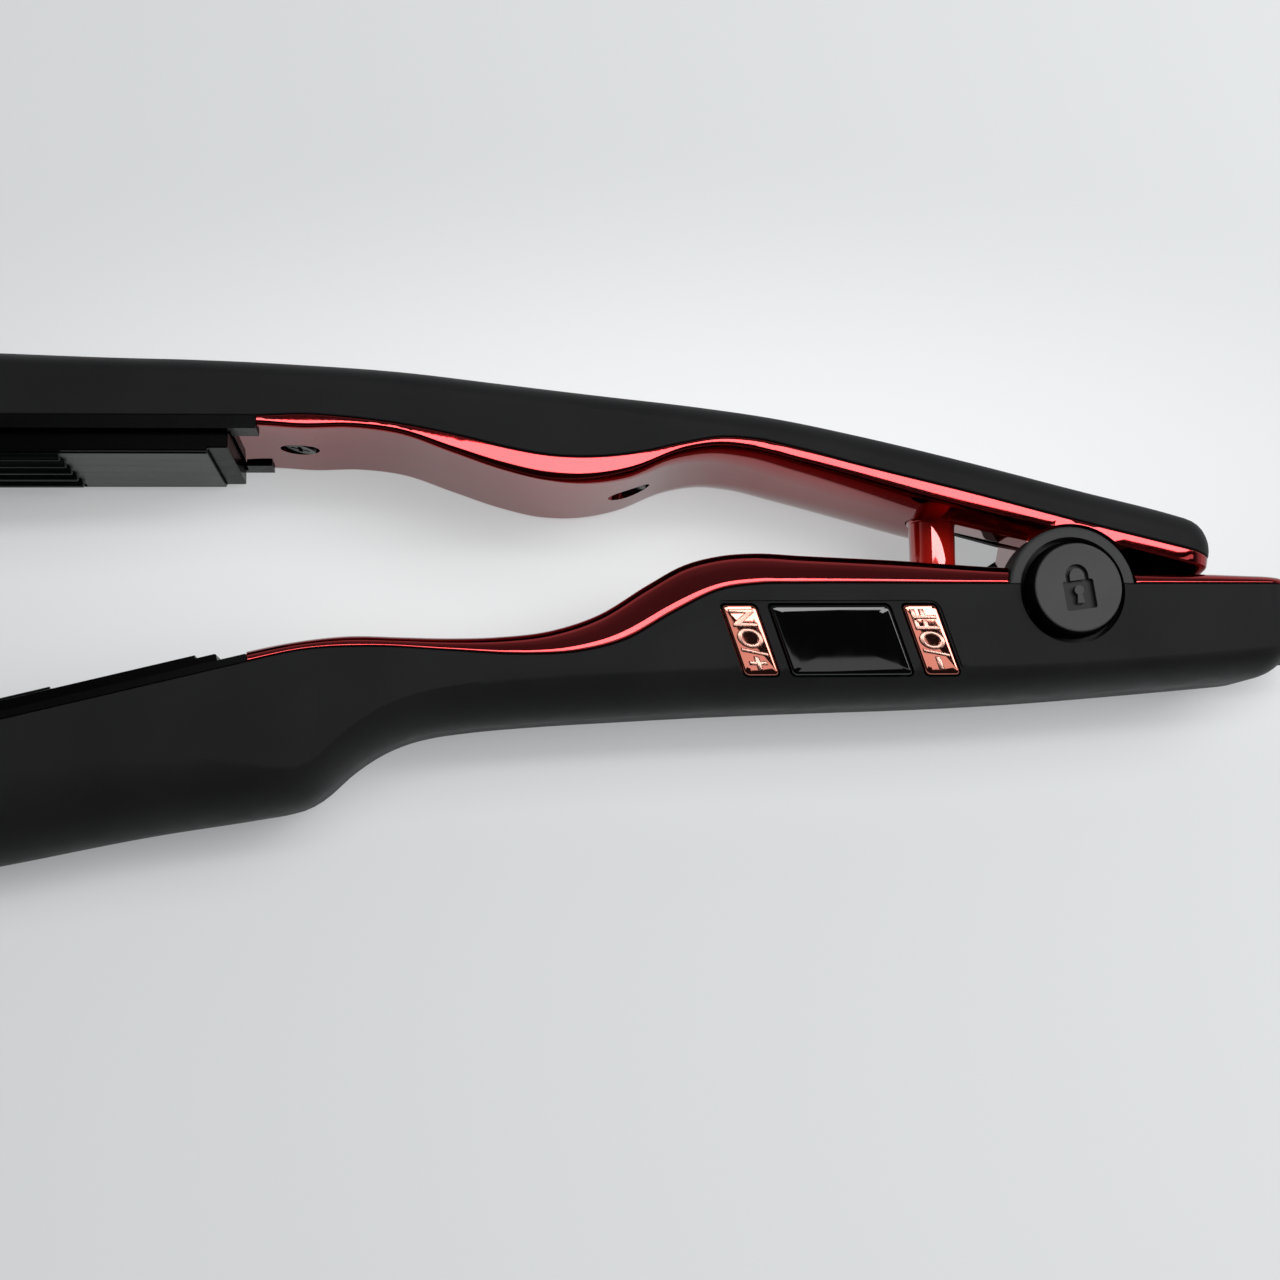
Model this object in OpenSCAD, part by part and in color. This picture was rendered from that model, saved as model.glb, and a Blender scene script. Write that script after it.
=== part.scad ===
// Hand-held hair crimper with two hinged arms, lying on its flat side. Millimetres, +Z up.
// Everything is drawn about the hinge axis (x = y = 0): -X runs to the heated tips, +X to the
// cord end, and Y points from the lower arm to the upper arm. The upper arm is drawn closed and
// turned open by open_angle. place() moves the whole to its origin under the bounding box centre.
// In the heads, u runs along the plates and h is the depth behind the plane where they meet.

/* [Arms] */
// Width of both arms, from flat side to flat side
arm_w = 32; // [31:0.5:34]
// Length of the tips ahead of the plates
nose_len = 10.2; // [9.5:0.1:12]
// Hinge axis to the rear end of the lower arm
rear_len = 40; // [38:1:46]
// Hinge axis to the end of the upper arm's tail
tail_len = 24; // [23:0.5:26]
// Wall of the black shells
shell_wall = 1.8; // [1.6:0.1:2]
// Wall of the chromed covers
cover_wall = 1.6; // [1.2:0.1:1.8]
// Edge rounding of the shells along the handle
handle_round = 4; // [3.4:0.2:4.4]
// Edge rounding of the shells around the plates
head_round = 8; // [6:0.5:9]
// Corner radius of the tips, seen against the plates
tip_round = 8; // [6:0.5:9]
// Edge rounding of the chromed covers
cover_round = 2.6; // [2:0.2:3]
// Gap between pieces that meet at a seam
seam_gap = 0.1; // [0.05:0.05:0.2]
// Angle between the arms' closed and open positions
open_angle = 13; // [10:0.5:13]

/* [Plates] */
// Length of each plate
plate_len = 91.4; // [85:0.2:99]
// Distance of the plates' long edges from the arms' flat sides
plate_inset = 2.3; // [2.2:0.1:3]
// Thickness of each plate at its flat ends
plate_t = 3.2; // [3:0.1:3.6]
// Hinge axis to the rear end of the plates, along the plates
plate_rear = 144.4; // [144:0.1:145.4]
// Angle of the closed plates to the handle's length
plate_tilt = 13.3; // [13:0.1:13.6]
// Distance of the closed plates' meeting plane from the hinge axis
plate_offset = 24; // [23.8:0.1:24.2]
// Gap left between the closed plates
plate_gap = 0.4; // [0.3:0.1:0.6]
// Crimp ridges across each plate
ridge_count = 5; // [4:1:6]
// Height of the crimp ridges above and below their middle
ridge_h = 1; // [0.6:0.1:1.2]
// Flat land at the rear of each plate
rear_land = 24; // [20:1:30]
// Flat land at the front of each plate
front_land = 4; // [3:0.5:8]
// Length of the carrier's cap at the front end of a plate
front_cap = 2.4; // [2:0.1:2.7]
// Length of the carrier's cap at the rear end of a plate
rear_cap = 3.4; // [3:0.1:4]
// How far the caps stand back from the plate's face
cap_drop = 0.7; // [0.5:0.1:1]
// Depth of the carrier behind its plate
carrier_t = 3.6; // [3.4:0.1:4]
// Width of the carrier's lips beside the plate
lip_w = 1.2; // [1:0.1:1.6]
// How far the lips stand back from the plate's face
lip_drop = 0.2; // [0.1:0.1:0.5]
// Width of the heating element
heater_w = 16; // [12:0.5:18]
// Length of the heating element
heater_len = 80; // [70:1:84]
// Thickness of the heating element
heater_t = 1.6; // [1.4:0.1:1.8]
// Thickness of the mica sheet behind the heating element
mica_t = 0.5; // [0.3:0.1:0.6]
// Radius of the silicone pads that carry a plate
pad_r = 3.5; // [3:0.1:4]
// Height of the silicone pads
pad_h = 2.6; // [2.4:0.1:3]
// How far each plate can be pushed in
float_travel = 0.9; // [0.6:0.1:1]
// Thickness of the plate frame's floor and end walls
frame_t = 1.5; // [1.2:0.1:1.6]
// Width of the plate frame's rim
rim_w = 1.9; // [1.7:0.1:2]
// Thickness of the lower rim
lower_rim_t = 1.2; // [1:0.1:1.4]
// Depth of the lower rim's face behind the meeting plane
lower_rim_drop = 2.4; // [2.2:0.1:2.6]
// Thickness of the upper rim
upper_rim_t = 2.2; // [2:0.1:2.4]
// Depth of the upper rim's face behind the meeting plane
upper_rim_drop = 3.6; // [3.4:0.1:3.8]
// Length of the rim behind the plate's rear end
rim_tail = 8.2; // [7.8:0.1:8.6]
// Width of each prong at the rim's rear end
prong_w = 5.3; // [4.5:0.1:5.5]

/* [Hinge and lock] */
// Radius of the hinge cheeks
cheek_r = 11; // [10.6:0.1:11.2]
// Thickness of the hinge cheeks
cheek_t = 6; // [5.8:0.1:6.4]
// Radius of the lock button
lock_r = 8.25; // [7.6:0.05:8.4]
// Thickness of the lock button
lock_t = 4; // [3.6:0.1:4.2]
// Travel of the lock
lock_travel = 3; // [2.5:0.1:3.2]
// Gap between the lock button and its well
well_gap = 0.85; // [0.5:0.05:0.9]
// Outer radius of the hinge sleeve
sleeve_r = 4.5; // [4.2:0.1:4.8]
// Radius of the lock spindle
spindle_r = 3; // [2.6:0.1:3.4]
// Running clearance of the hinge sleeve and the spindle
run_clear = 0.06; // [0.04:0.01:0.08]
// Thickness of the hinge washers
washer_t = 0.5; // [0.4:0.05:0.6]
// Radius of the hinge washers
washer_r = 5.6; // [5.3:0.1:5.8]
// Radius of the upper arm's knuckle
knuckle_r = 9; // [8.7:0.1:9.3]
// Inner reach of the lock tab from the axis
tab_in = 6.3; // [6.2:0.1:6.4]
// Outer reach of the lock tab from the axis
tab_out = 7.7; // [7.5:0.1:7.8]
// Angle that the lock tab spans
tab_angle = 6.4; // [5.5:0.1:6.6]
// Angle that the knuckle's tooth spans
tooth_angle = 5; // [4:0.1:5.2]

/* [Opening spring] */
// Hinge axis to the spring post, when open
post_x = 19.8; // [19.5:0.1:20]
// Radius of the spring post
post_r = 4.05; // [3.9:0.05:4.15]
// Radius of the boss that holds the post
collar_r = 4.4; // [4.3:0.05:4.5]
// Height of the boss
collar_h = 3.3; // [2.8:0.1:3.4]
// Wire diameter of the opening spring
wire_d = 0.9; // [0.7:0.1:1]
// Middle radius of the opening spring's turns
coil_r = 3; // [2.8:0.1:3.2]
// Turns of the opening spring
coil_turns = 6; // [5:0.5:7]

/* [Controls] */
// Hinge axis to the middle of the control panel
panel_x = 40; // [39:0.5:42]
// Middle of the control panel, down from the hinge axis
panel_y = 8.3; // [8:0.1:8.5]
// Height of the keys and of the display window
panel_h = 11.8; // [11:0.1:12]
// Lean of the keys and of the display window
panel_lean = 18; // [15:0.5:19]
// Length of the display window
window_w = 20.4; // [19:0.1:21]
// Length of each key
key_w = 5.8; // [5:0.1:6]
// Bar between the window and each key
bar_w = 2.2; // [1.8:0.1:2.4]
// Depth of the recess around the panel
panel_recess = 0.35; // [0.2:0.05:0.5]
// Gap around the keys and the window
key_gap = 0.3; // [0.2:0.05:0.35]
// Travel of each key
key_travel = 0.6; // [0.4:0.05:0.6]
// Thickness of the control board
board_t = 1.6; // [1.2:0.1:1.6]
// Length of the control board
board_len = 44; // [43:0.5:45]
// Height of the key switches' bodies
switch_h = 1.8; // [1.6:0.1:2]

/* [Cord gland] */
// Radius of the bore that takes the cord
gland_bore = 3.2; // [2.8:0.1:3.4]
// Radius of the gland's neck in the rear wall
gland_neck = 4.4; // [4.2:0.1:4.6]
// Radius of the gland's flange and of its nose
gland_r = 5.6; // [5.4:0.1:5.8]
// Length of the gland's nose behind the lower arm
gland_nose = 11; // [8:0.5:14]
// Thickness of the lower arm's rear wall
rear_wall = 3; // [2.6:0.1:3.4]

/* [Screws] */
// Radius of the cover screws' heads
head_r = 2.7; // [2.5:0.1:2.8]
// Height of the cover screws' heads
head_h = 1.3; // [1.1:0.1:1.4]
// Radius of the cover screws' shanks
shank_r = 1.25; // [1:0.05:1.3]
// Length of the cover screws' shanks
shank_len = 6; // [5:0.5:7]
// Radial gap of the screw holes in the covers
hole_gap = 0.6; // [0.4:0.05:0.7]

/* [Hidden] */
$fn = 64;
e = 0.01;            // overreach of a cut
fit = 0.05;          // gap of a close fit inside one body

black = "#242426";
gloss_black = "#101012";
chrome_red = "#8e1a22";
rose = "#d08a7c";
steel = "#b8bcc0";
brass = "#c0a050";
ceramic = "#7c8280";
silicone = "#a04030";
mica = "#b0a070";
board_green = "#1f5a3a";
white = "#e8e8e4";

mid = arm_w / 2;
plate_w = arm_w - 2 * (plate_inset + lip_w + fit);
front_len = plate_rear + plate_len + nose_len;   // hinge axis to the tips, along the plates
lower_seam_h = lower_rim_drop + lower_rim_t + seam_gap;
upper_seam_h = upper_rim_drop + upper_rim_t + seam_gap;

// A point of the head, from its place u along the plates and h behind the meeting plane
function head_x(u, v) = u * cos(plate_tilt) - v * sin(plate_tilt);
function head_y(x, v) = (v + x * sin(plate_tilt)) / cos(plate_tilt);

lower_tip = head_x(-front_len, plate_offset - lower_seam_h);
upper_tip = head_x(-front_len, plate_offset + upper_seam_h);
cover_u = -plate_rear + rim_tail;
lower_cover_x = head_x(cover_u, plate_offset - lower_seam_h);
upper_cover_x = head_x(cover_u, plate_offset + upper_seam_h);
cap_u = -plate_rear + rear_cap;    // rear face of the carrier's rear cap

// ---- Outlines: smooth curves through stations [x, y] ----
function slope_at(s, i) =
    let (n = len(s) - 1)
    i == 0 ? (s[1][1] - s[0][1]) / (s[1][0] - s[0][0])
    : i == n ? (s[n][1] - s[n - 1][1]) / (s[n][0] - s[n - 1][0])
    : let (a = s[i][0] - s[i - 1][0], b = s[i + 1][0] - s[i][0])
      ((s[i][1] - s[i - 1][1]) * b / a + (s[i + 1][1] - s[i][1]) * a / b) / (a + b);
function station(s, x, i = 0) = i >= len(s) - 2 || x < s[i + 1][0] ? i : station(s, x, i + 1);
function curve(s, x) =
    let (i = station(s, x), w = s[i + 1][0] - s[i][0], t = (x - s[i][0]) / w,
         a = slope_at(s, i) * w, b = slope_at(s, i + 1) * w, d = s[i + 1][1] - s[i][1])
    s[i][1] + t * a + t * t * (3 * d - 2 * a - b) + t * t * t * (a + b - 2 * d);
// How much a wall grows along Y where its outline slopes
probe = 0.5;         // half the length over which a slope is taken
function stretch(s, x) = sqrt(1 + pow((curve(s, x + probe) - curve(s, x - probe)) / (2 * probe), 2));

// Where the lower shell meets its cover or the plate frame
lower_seam = concat(
    [for (x = [lower_tip, -195, -160, -146, lower_cover_x]) [x, head_y(x, plate_offset - lower_seam_h)]],
    [[-129, -9.8], [-117, -9.2], [-105, -9.9], [-92, -10.6], [-84, -10.2], [-76, -8.2], [-68, -3.7],
     [-60, 0.1], [-54, 1], [-46, 1.15], [-20, 1.15], [50, 1.15]]);
// The lower cover's inner face, towards the hair
lower_face = [[-146, -11.9], [-138, -9.7], [-129, -7.9], [-121, -7.1], [-113, -7.3], [-105, -7.5],
    [-97, -7.3], [-88, -6.2], [-80, -3.5], [-72, 1.4], [-66, 4.7], [-60, 6.3], [-54, 6.8],
    [-46, 6.4], [-30, 5.6], [-12, 4.4], [14, 3.5], [22, 3.25], [50, 2.2]];
// The lower shell's back
lower_back = [[-252, -50.8], [-235, -50.6], [-215, -48], [-185, -43.8], [-157, -39.2], [-147, -37.8],
    [-137, -36.3], [-131, -35.2], [-129, -34.6], [-126.5, -33.2], [-121, -28.4], [-117, -25.7],
    [-112, -23.5], [-108, -22.5], [-103, -21.8], [-90, -20.7], [-77, -20], [-60, -19.2],
    [-42, -18.6], [-24, -18.1], [-5, -17.2], [13, -15.9], [23, -15.1], [50, -12.8]];
// The same three outlines on the closed upper arm
upper_seam = concat(
    [for (x = [upper_tip, -195, -160, -146, upper_cover_x]) [x, head_y(x, plate_offset + upper_seam_h)]],
    [[-132, -0.2], [-124, 1.1], [-116, 1.9], [-106, 2.2], [-98, 2.1], [-91, 2.5], [-84, 3.9],
     [-76, 6.7], [-70, 9.6], [-64, 12.1], [-58, 13.2], [-50, 13.3], [-40, 13], [-20, 12.7],
     [0, 12.1], [14, 11.9], [30, 11.6]]);
upper_face = [[-148, -6.2], [-139, -3.8], [-132, -2.6], [-124, -0.6], [-116, 0.2], [-107, -0.8],
    [-98, -1.75], [-91, -1.8], [-84, -0.6], [-77, 2.3], [-70, 7], [-64, 9.4], [-58, 10.2],
    [-50, 10], [-36, 9.45], [-28, 9.1], [-11, 8.8], [13, 8.5], [21, 8.5], [30, 10.4]];
upper_back = [[-256, -17.4], [-240, -14.6], [-220, -9.2], [-190, -2.2], [-163, 3.6], [-151, 6.3],
    [-135, 9.3], [-119, 11.9], [-102, 13.8], [-85, 15.6], [-68, 17.4], [-55, 18.4], [-40, 18.7],
    [-23, 18.6], [0, 18.1], [14, 17.9], [30, 16.8]];
// Edge rounding of the lower shell's back, tighter at the notch behind the head
round_along = [[-252, head_round], [-165, head_round], [-140, head_round * 0.8], [-129, 3.4], [-122, 3.4],
    [-112, handle_round], [50, handle_round]];

// Rounded ends: inset of a corner, and how much of a depth is left, d before the end
function corner_inset(d, r) = d >= r ? 0 : r - sqrt(r * r - (r - max(d, 0)) * (r - max(d, 0)));
function nose(d, r, end) = d >= r ? 1 : end + (1 - end) * sqrt(1 - pow(1 - max(d, 0) / r, 2));
tip_end = 0.45;      // share of the head's depth at the tip's flat end
rear_round = 6;      // rounding of the arms' rear ends
rear_end = 0.8;      // share of the lower arm's depth at its rear end
tail_end = 0.35;     // share of the upper arm's depth at its tail's end
// The head's end faces stand square to the plates: lean of a cross-section there
lean_from = -150;
lean_over = 40;
function lean(x) = tan(plate_tilt) * min(1, max(0, (lean_from - x) / lean_over));

function lower_inset(x) = corner_inset(x - lower_tip, tip_round) + corner_inset(rear_len - x, rear_round);
function upper_inset(x) = corner_inset(x - upper_tip, tip_round) + corner_inset(tail_len - x, rear_round);
function lower_back_y(x) = curve(lower_seam, x) + (curve(lower_back, x) - curve(lower_seam, x))
    * nose(x - lower_tip, tip_round, tip_end) * nose(rear_len - x, rear_round, rear_end);
function upper_back_y(x) = curve(upper_seam, x) + (curve(upper_back, x) - curve(upper_seam, x))
    * nose(x - upper_tip, tip_round, tip_end) * nose(tail_len - x, rear_round, tail_end);

// ---- Lofts: a cross-section at x has square corners at y0 and round ones at y1 ----
arc_steps = 5;
function section(x, y0, y1, inset, r) =
    let (s = sign(y1 - y0), q = min(r, 0.9 * abs(y1 - y0)), c = y1 - s * q, lo = inset, hi = arm_w - inset,
         turn = [for (i = [0:arc_steps]) let (t = 90 * i / arc_steps) [c + s * q * sin(t), q - q * cos(t)]],
         flat = concat([[y0, hi]], [for (p = turn) [p[0], hi - p[1]]],
             [for (i = [arc_steps:-1:0]) [turn[i][0], lo + turn[i][1]]], [[y0, lo]]))
    [for (p = flat) [x - (p[0] - y0) * lean(x), p[0], p[1]]];
module loft(rings) {
    n = len(rings[0]);
    m = len(rings);
    up = rings[1][2][1] > rings[1][0][1];
    sides = [for (k = [0:m - 2], i = [0:n - 1])
        let (j = (i + 1) % n, a = k * n + i, b = k * n + j, c = a + n, d = b + n)
        each [[a, c, d], [a, d, b]]];
    caps = [[for (i = [0:n - 1]) i], [for (i = [n - 1:-1:0]) (m - 1) * n + i]];
    faces = [for (f = concat(sides, caps)) up ? [for (i = [len(f) - 1:-1:0]) f[i]] : f];
    polyhedron([for (r = rings) each r], faces, convexity = 8);
}
function steps(a, b, n) = [for (i = [0:n - 1]) a + (b - a) * i / n];
// Places along an arm at which its lofts are cut: spans are [start, number of slices]
tip_slices = 5;
rear_slices = 4;
least_slice = 0.4;
lower_spans = [[lower_tip + 11, 8], [-142, 3], [-130, 11], [-109, 13], [-50, 7]];
upper_spans = [[upper_tip + 11, 7], [-142, 20], [-54, 7]];
function slices(spans, last) = [for (i = [0:len(spans) - 1])
    each steps(spans[i][0], i + 1 < len(spans) ? spans[i + 1][0] : last, spans[i][1])];
function places(tip, spans, rear, a, b) = let (all = concat(
    [for (i = [0:tip_slices]) tip + tip_round * (1 - cos(90 * i / tip_slices))],
    slices(spans, rear - rear_round),
    [for (i = [0:rear_slices]) rear - rear_round * (1 - sin(90 * i / rear_slices))]))
    [for (x = all) if (x > a + least_slice && x < b - least_slice) x];
function lower_places(a, b) = places(lower_tip, lower_spans, rear_len, a, b);
function upper_places(a, b) = places(upper_tip, upper_spans, tail_len, a, b);
function ends(a, b, list) = concat([a], list, [b]);

// ---- Origin: under the centre of the bounding box, with the arms open ----
function open_xy(p) = [p[0] * cos(open_angle) + p[1] * sin(open_angle),
    -p[0] * sin(open_angle) + p[1] * cos(open_angle)];
lower_xs = ends(lower_tip, rear_len, lower_places(lower_tip, rear_len));
upper_xs = ends(upper_tip, tail_len, upper_places(upper_tip, tail_len));
lower_pts = [for (x = lower_xs) let (y = lower_back_y(x)) [x - (y - curve(lower_seam, x)) * lean(x), y]];
upper_pts = [for (x = upper_xs) let (y = upper_back_y(x))
    open_xy([x - (y - curve(upper_seam, x)) * lean(x), y])];
box_left = min([for (p = concat(lower_pts, upper_pts)) p[0]]);
box_right = rear_len + gland_nose;
box_low = min([for (p = lower_pts) p[1]]);
box_high = max([for (p = upper_pts) p[1]]);
origin_x = (box_left + box_right) / 2;
origin_y = (box_low + box_high) / 2;
module place() translate([-origin_x, -origin_y, 0]) children();
module open_arm() place() rotate([0, 0, -open_angle]) children();

// ---- The heads' own frame: x = u, y = h behind the meeting plane ----
module lower_head() rotate([0, 0, plate_tilt]) translate([0, plate_offset, 0]) mirror([0, 1, 0]) children();
module upper_head() rotate([0, 0, plate_tilt]) translate([0, plate_offset, 0]) children();
face_h = plate_gap / 2;
plate_back = face_h + plate_t;
carrier_back = plate_back + carrier_t;
floor_h = carrier_back + pad_h;
plate_z = (arm_w - plate_w) / 2;
plate_front = plate_rear + plate_len;
pocket_gap = 0.4;    // gap between the carrier's ends and the frame
module block(u0, u1, h0, h1, z0, z1) translate([u0, h0, z0]) cube([u1 - u0, h1 - h0, z1 - z0]);

// A plate's profile across its width, with or without ridges; side is 1 on the upper arm
function wave(z) = ridge_h * sin(360 * ridge_count * (z - plate_z) / plate_w);
wave_steps = 8 * ridge_count;
module plate_run(u, length, ridged, side) {
    ridge_zs = [for (i = [0:wave_steps]) plate_z + plate_w * i / wave_steps];
    zs = ridged ? ridge_zs : [plate_z, plate_z + plate_w];
    top = [for (z = zs) [z, face_h + (ridged ? side * wave(z) : 0)]];
    translate([u, 0, 0]) rotate([0, -90, 0]) linear_extrude(length)
        polygon(concat(top, [[plate_z + plate_w, plate_back], [plate_z, plate_back]]));
}
module plate(side) {
    ridge_len = plate_len - rear_land - front_land;
    union() {
        plate_run(-plate_rear, rear_land, false, side);
        plate_run(-plate_rear - rear_land, ridge_len, true, side);
        plate_run(-plate_rear - rear_land - ridge_len, front_land, false, side);
    }
}
pocket_h = heater_t + mica_t;
module heater_box(depth, extra) {
    middle = -plate_rear - plate_len / 2;
    block(middle - heater_len / 2 - extra, middle + heater_len / 2 + extra, plate_back + depth[0],
        plate_back + depth[1], mid - heater_w / 2 - extra, mid + heater_w / 2 + extra);
}
module plate_carrier() {
    cap_h = face_h + cap_drop;
    difference() {
        union() {
            block(-plate_front, -plate_rear, plate_back, carrier_back, plate_inset, arm_w - plate_inset);
            block(-plate_rear, cap_u, cap_h, carrier_back, plate_inset, arm_w - plate_inset);
            block(-plate_front - front_cap, -plate_front, cap_h, carrier_back, plate_inset,
                arm_w - plate_inset);
            for (z = [plate_inset, arm_w - plate_inset - lip_w])
                block(-plate_front, -plate_rear, face_h + lip_drop, plate_back + e, z, z + lip_w);
        }
        heater_box([-e, pocket_h], fit);
    }
}
module heater() heater_box([0, heater_t], 0);
module mica_sheet() heater_box([heater_t, pocket_h], 0);
pad_inset = 12;      // pads to the plate's ends
pad_side = 7;        // pads to the middle of the arm's width
module plate_pads()
    for (u = [plate_rear + pad_inset, plate_front - pad_inset], z = [mid - pad_side, mid + pad_side])
        translate([-u, carrier_back, z]) rotate([-90, 0, 0]) cylinder(r = pad_r, h = pad_h);
sensor_r = 2;
sensor_h = 1.1;
sensor_inset = 5;    // sensor to the plate's rear end
module temperature_sensor()
    translate([-plate_rear - sensor_inset, carrier_back, mid]) rotate([-90, 0, 0])
        cylinder(r = sensor_r, h = sensor_h);

// Rim around the plate, with prongs beside the cover's tongue, and a floor that carries the pads
wall_z = 4;          // flat sides to the frame's floor and end walls
module plate_frame(drop, rim) {
    back = drop + rim;
    tongue_back = back + 2 * seam_gap;
    open_front = -plate_front - front_cap - pocket_gap;
    open_rear = cap_u + pocket_gap;
    difference() {
        translate([0, drop, 0]) rotate([-90, 0, 0]) linear_extrude(rim) mirror([0, 1]) rim_outline();
        block(open_front, open_rear, drop - e, back + e, rim_w, arm_w - rim_w);
        block(open_rear - e, cover_u + e, drop - e, back + e, prong_w, arm_w - prong_w);
    }
    block(open_front - frame_t, open_front, back, floor_h + frame_t, wall_z, arm_w - wall_z);
    block(open_front - e, cover_u - frame_t, floor_h, floor_h + frame_t, wall_z, arm_w - wall_z);
    block(cover_u - frame_t - e, cover_u, tongue_back, floor_h + frame_t, wall_z, arm_w - wall_z);
    for (z = [wall_z, arm_w - prong_w])
        block(cover_u - frame_t, cover_u, back - e, tongue_back + e, z, z + prong_w - wall_z);
}
module rim_outline() {
    translate([-front_len + tip_round, 0]) square([front_len - tip_round + cover_u, arm_w]);
    translate([-front_len, tip_round]) square([tip_round + e, arm_w - 2 * tip_round]);
    for (z = [tip_round, arm_w - tip_round]) translate([-front_len + tip_round, z]) circle(r = tip_round);
}

// ---- Cover screws: holes sunk in the cover, a boss in the shell behind ----
lower_screw_xs = [-131.5, -100];
upper_screw_xs = [-133.3, -76.3];
ledge = 0.9;         // floor of a screw's hole, ahead of the seam
boss_r = 3.2;
boss_drop = 1.7;     // bosses stop short of the covers, whose seams slope
cup_wall = 1;        // wall around a sunk hole
cup_r = head_r + hole_gap + cup_wall;
slot_w = 0.7;        // cross slots of the screws
slot_depth = 0.8;
deep = 3 * arm_w;    // longer than any cut needs
module along_y(x, y, side) translate([x, y, mid]) rotate([-90 * side, 0, 0]) children();
module cover_screws(xs, seam, side)
    for (x = xs) along_y(x, curve(seam, x) - side * ledge, side) difference() {
        union() {
            translate([0, 0, -head_h]) cylinder(r = head_r, h = head_h);
            cylinder(r = shank_r, h = shank_len);
        }
        for (a = [0, 90]) rotate([0, 0, a]) translate([0, 0, -head_h - e])
            linear_extrude(slot_depth) square([head_r * 1.2, slot_w], center = true);
    }
module screw_holes(xs, seam, side)
    for (x = xs) along_y(x, curve(seam, x) - side * ledge, side) {
        translate([0, 0, -deep]) cylinder(r = head_r + hole_gap, h = deep);
        cylinder(r = shank_r + hole_gap / 2, h = ledge * 3, center = true);
    }
module screw_bosses(xs, seam, back, side)
    for (x = xs) let (top = curve(seam, x) + side * boss_drop,
            depth = min([for (d = [-boss_r, 0, boss_r]) abs(curve(back, x + d) - top)]) - shell_wall / 2)
        along_y(x, top, side) difference() {
            cylinder(r = boss_r, h = depth);
            translate([0, 0, -e]) cylinder(r = shank_r + fit, h = shank_len);
        }

// ---- Controls on the lower arm's near side ----
lean_shift = tan(panel_lean);
cell_corner = 0.8;
soften = 0.3;        // share of a corner's cut at which it is broken once more
module panel_cell(x, length, grow, z0, z1, corner = cell_corner) {
    half = panel_h / 2 + grow;
    reach = length / 2 + grow;
    translate([-panel_x + x, -panel_y, z0]) linear_extrude(z1 - z0)
        multmatrix([[1, -lean_shift, 0, 0], [0, 1, 0, 0], [0, 0, 1, 0], [0, 0, 0, 1]])
            polygon([for (q = [[-1, -1], [1, -1], [1, 1], [-1, 1]]) each let (near = corner * soften,
                pair = [[reach - corner, half], [reach - near, half - near], [reach, half - corner]])
                [for (k = q[0] == q[1] ? [2:-1:0] : [0:2]) [q[0] * pair[k][0], q[1] * pair[k][1]]]]);
}
panel_edge = 0.7;    // the recess reaches past the keys and the window
panel_corner = 1.2;
key_x = window_w / 2 + bar_w + key_w / 2;
wall_in = arm_w - shell_wall;
key_flange = 0.9;
key_flange_w = 0.5;
flange_len = key_w + 2 * (key_gap + 2 * key_flange_w);
module key(x) {
    panel_cell(x, key_w, 0, wall_in - key_flange + e, arm_w);
    panel_cell(x, flange_len, -key_flange_w, wall_in - key_flange - seam_gap, wall_in - seam_gap);
}
switch_top = wall_in - key_flange - 2 * seam_gap - key_travel;
stem_h = 0.7;
board_z = switch_top - stem_h - switch_h - board_t;
mark_h = 0.25;
mark_l = 2.2;
mark_w = 0.7;
module key_mark(x, across) translate([-panel_x + x, -panel_y - panel_h / 4, arm_w + mark_h / 2 - e]) {
    cube([mark_l, mark_w, mark_h], center = true);
    if (across) cube([mark_w, mark_l, mark_h], center = true);
}

// ---- Hinge levels ----
well_r = lock_r + well_gap;
well_floor = lock_t + 0.3;
knuckle_z = cheek_t + washer_t + seam_gap;
tab_at = 205;        // direction of the lock tab from the axis
tab_gap = 0.15;
tab_clear = 1.5;     // angle left free at each side of the tab
tab_play = 26;       // half the angle over which the knuckle is hollowed for the tab
tooth_at = 6.5;      // the knuckle's tooth, past the tab's direction
module sector(r0, r1, a0, a1, h) linear_extrude(h) polygon(concat(
    [for (i = [0:8]) let (a = a0 + (a1 - a0) * i / 8) [r0 * cos(a), r0 * sin(a)]],
    [for (i = [8:-1:0]) let (a = a0 + (a1 - a0) * i / 8) [r1 * cos(a), r1 * sin(a)]]));

// ============ Lower arm ============
module lower_shell() color(black) place() difference() {
    union() {
        difference() {
            loft([for (x = lower_xs)
                section(x, curve(lower_seam, x), lower_back_y(x), lower_inset(x), curve(round_along, x))]);
            lower_cavity();
        }
        screw_bosses(lower_screw_xs, lower_seam, lower_back, -1);
        spring_seat();
    }
    translate([0, 0, cheek_t]) cylinder(r = well_r, h = arm_w);
    translate([0, 0, cheek_t - arm_w]) cylinder(r = well_r, h = arm_w - e);
    panel_cell(0, window_w + 2 * (bar_w + key_w), panel_edge, arm_w - panel_recess, arm_w + 1, panel_corner);
    panel_cell(0, window_w, key_gap, wall_in - 1, arm_w + 1);
    for (x = [-key_x, key_x]) panel_cell(x, key_w, key_gap, wall_in - 1, arm_w + 1);
    translate([rear_len - 2 * rear_wall, gland_y, mid]) rotate([0, 90, 0])
        cylinder(r = gland_neck + run_clear, h = deep);
}
cavity_round = 1.5;  // least rounding left inside a shell
module lower_cavity() {
    a = lower_tip + shell_wall;
    b = rear_len - rear_wall;
    inset = shell_wall;
    loft([for (x = ends(a, b, lower_places(a, b)))
        section(x, curve(lower_seam, x) + 1, lower_back_y(x) + shell_wall * stretch(lower_back, x),
            inset + corner_inset(x - a, tip_round - inset) + corner_inset(b - x, rear_round - inset),
            max(cavity_round, curve(round_along, x) - inset))]);
}
gland_y = -5.4;
seat_y = curve(lower_back, -post_x) + shell_wall;
seat_h = 2;
seat_pin = 6;
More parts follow.
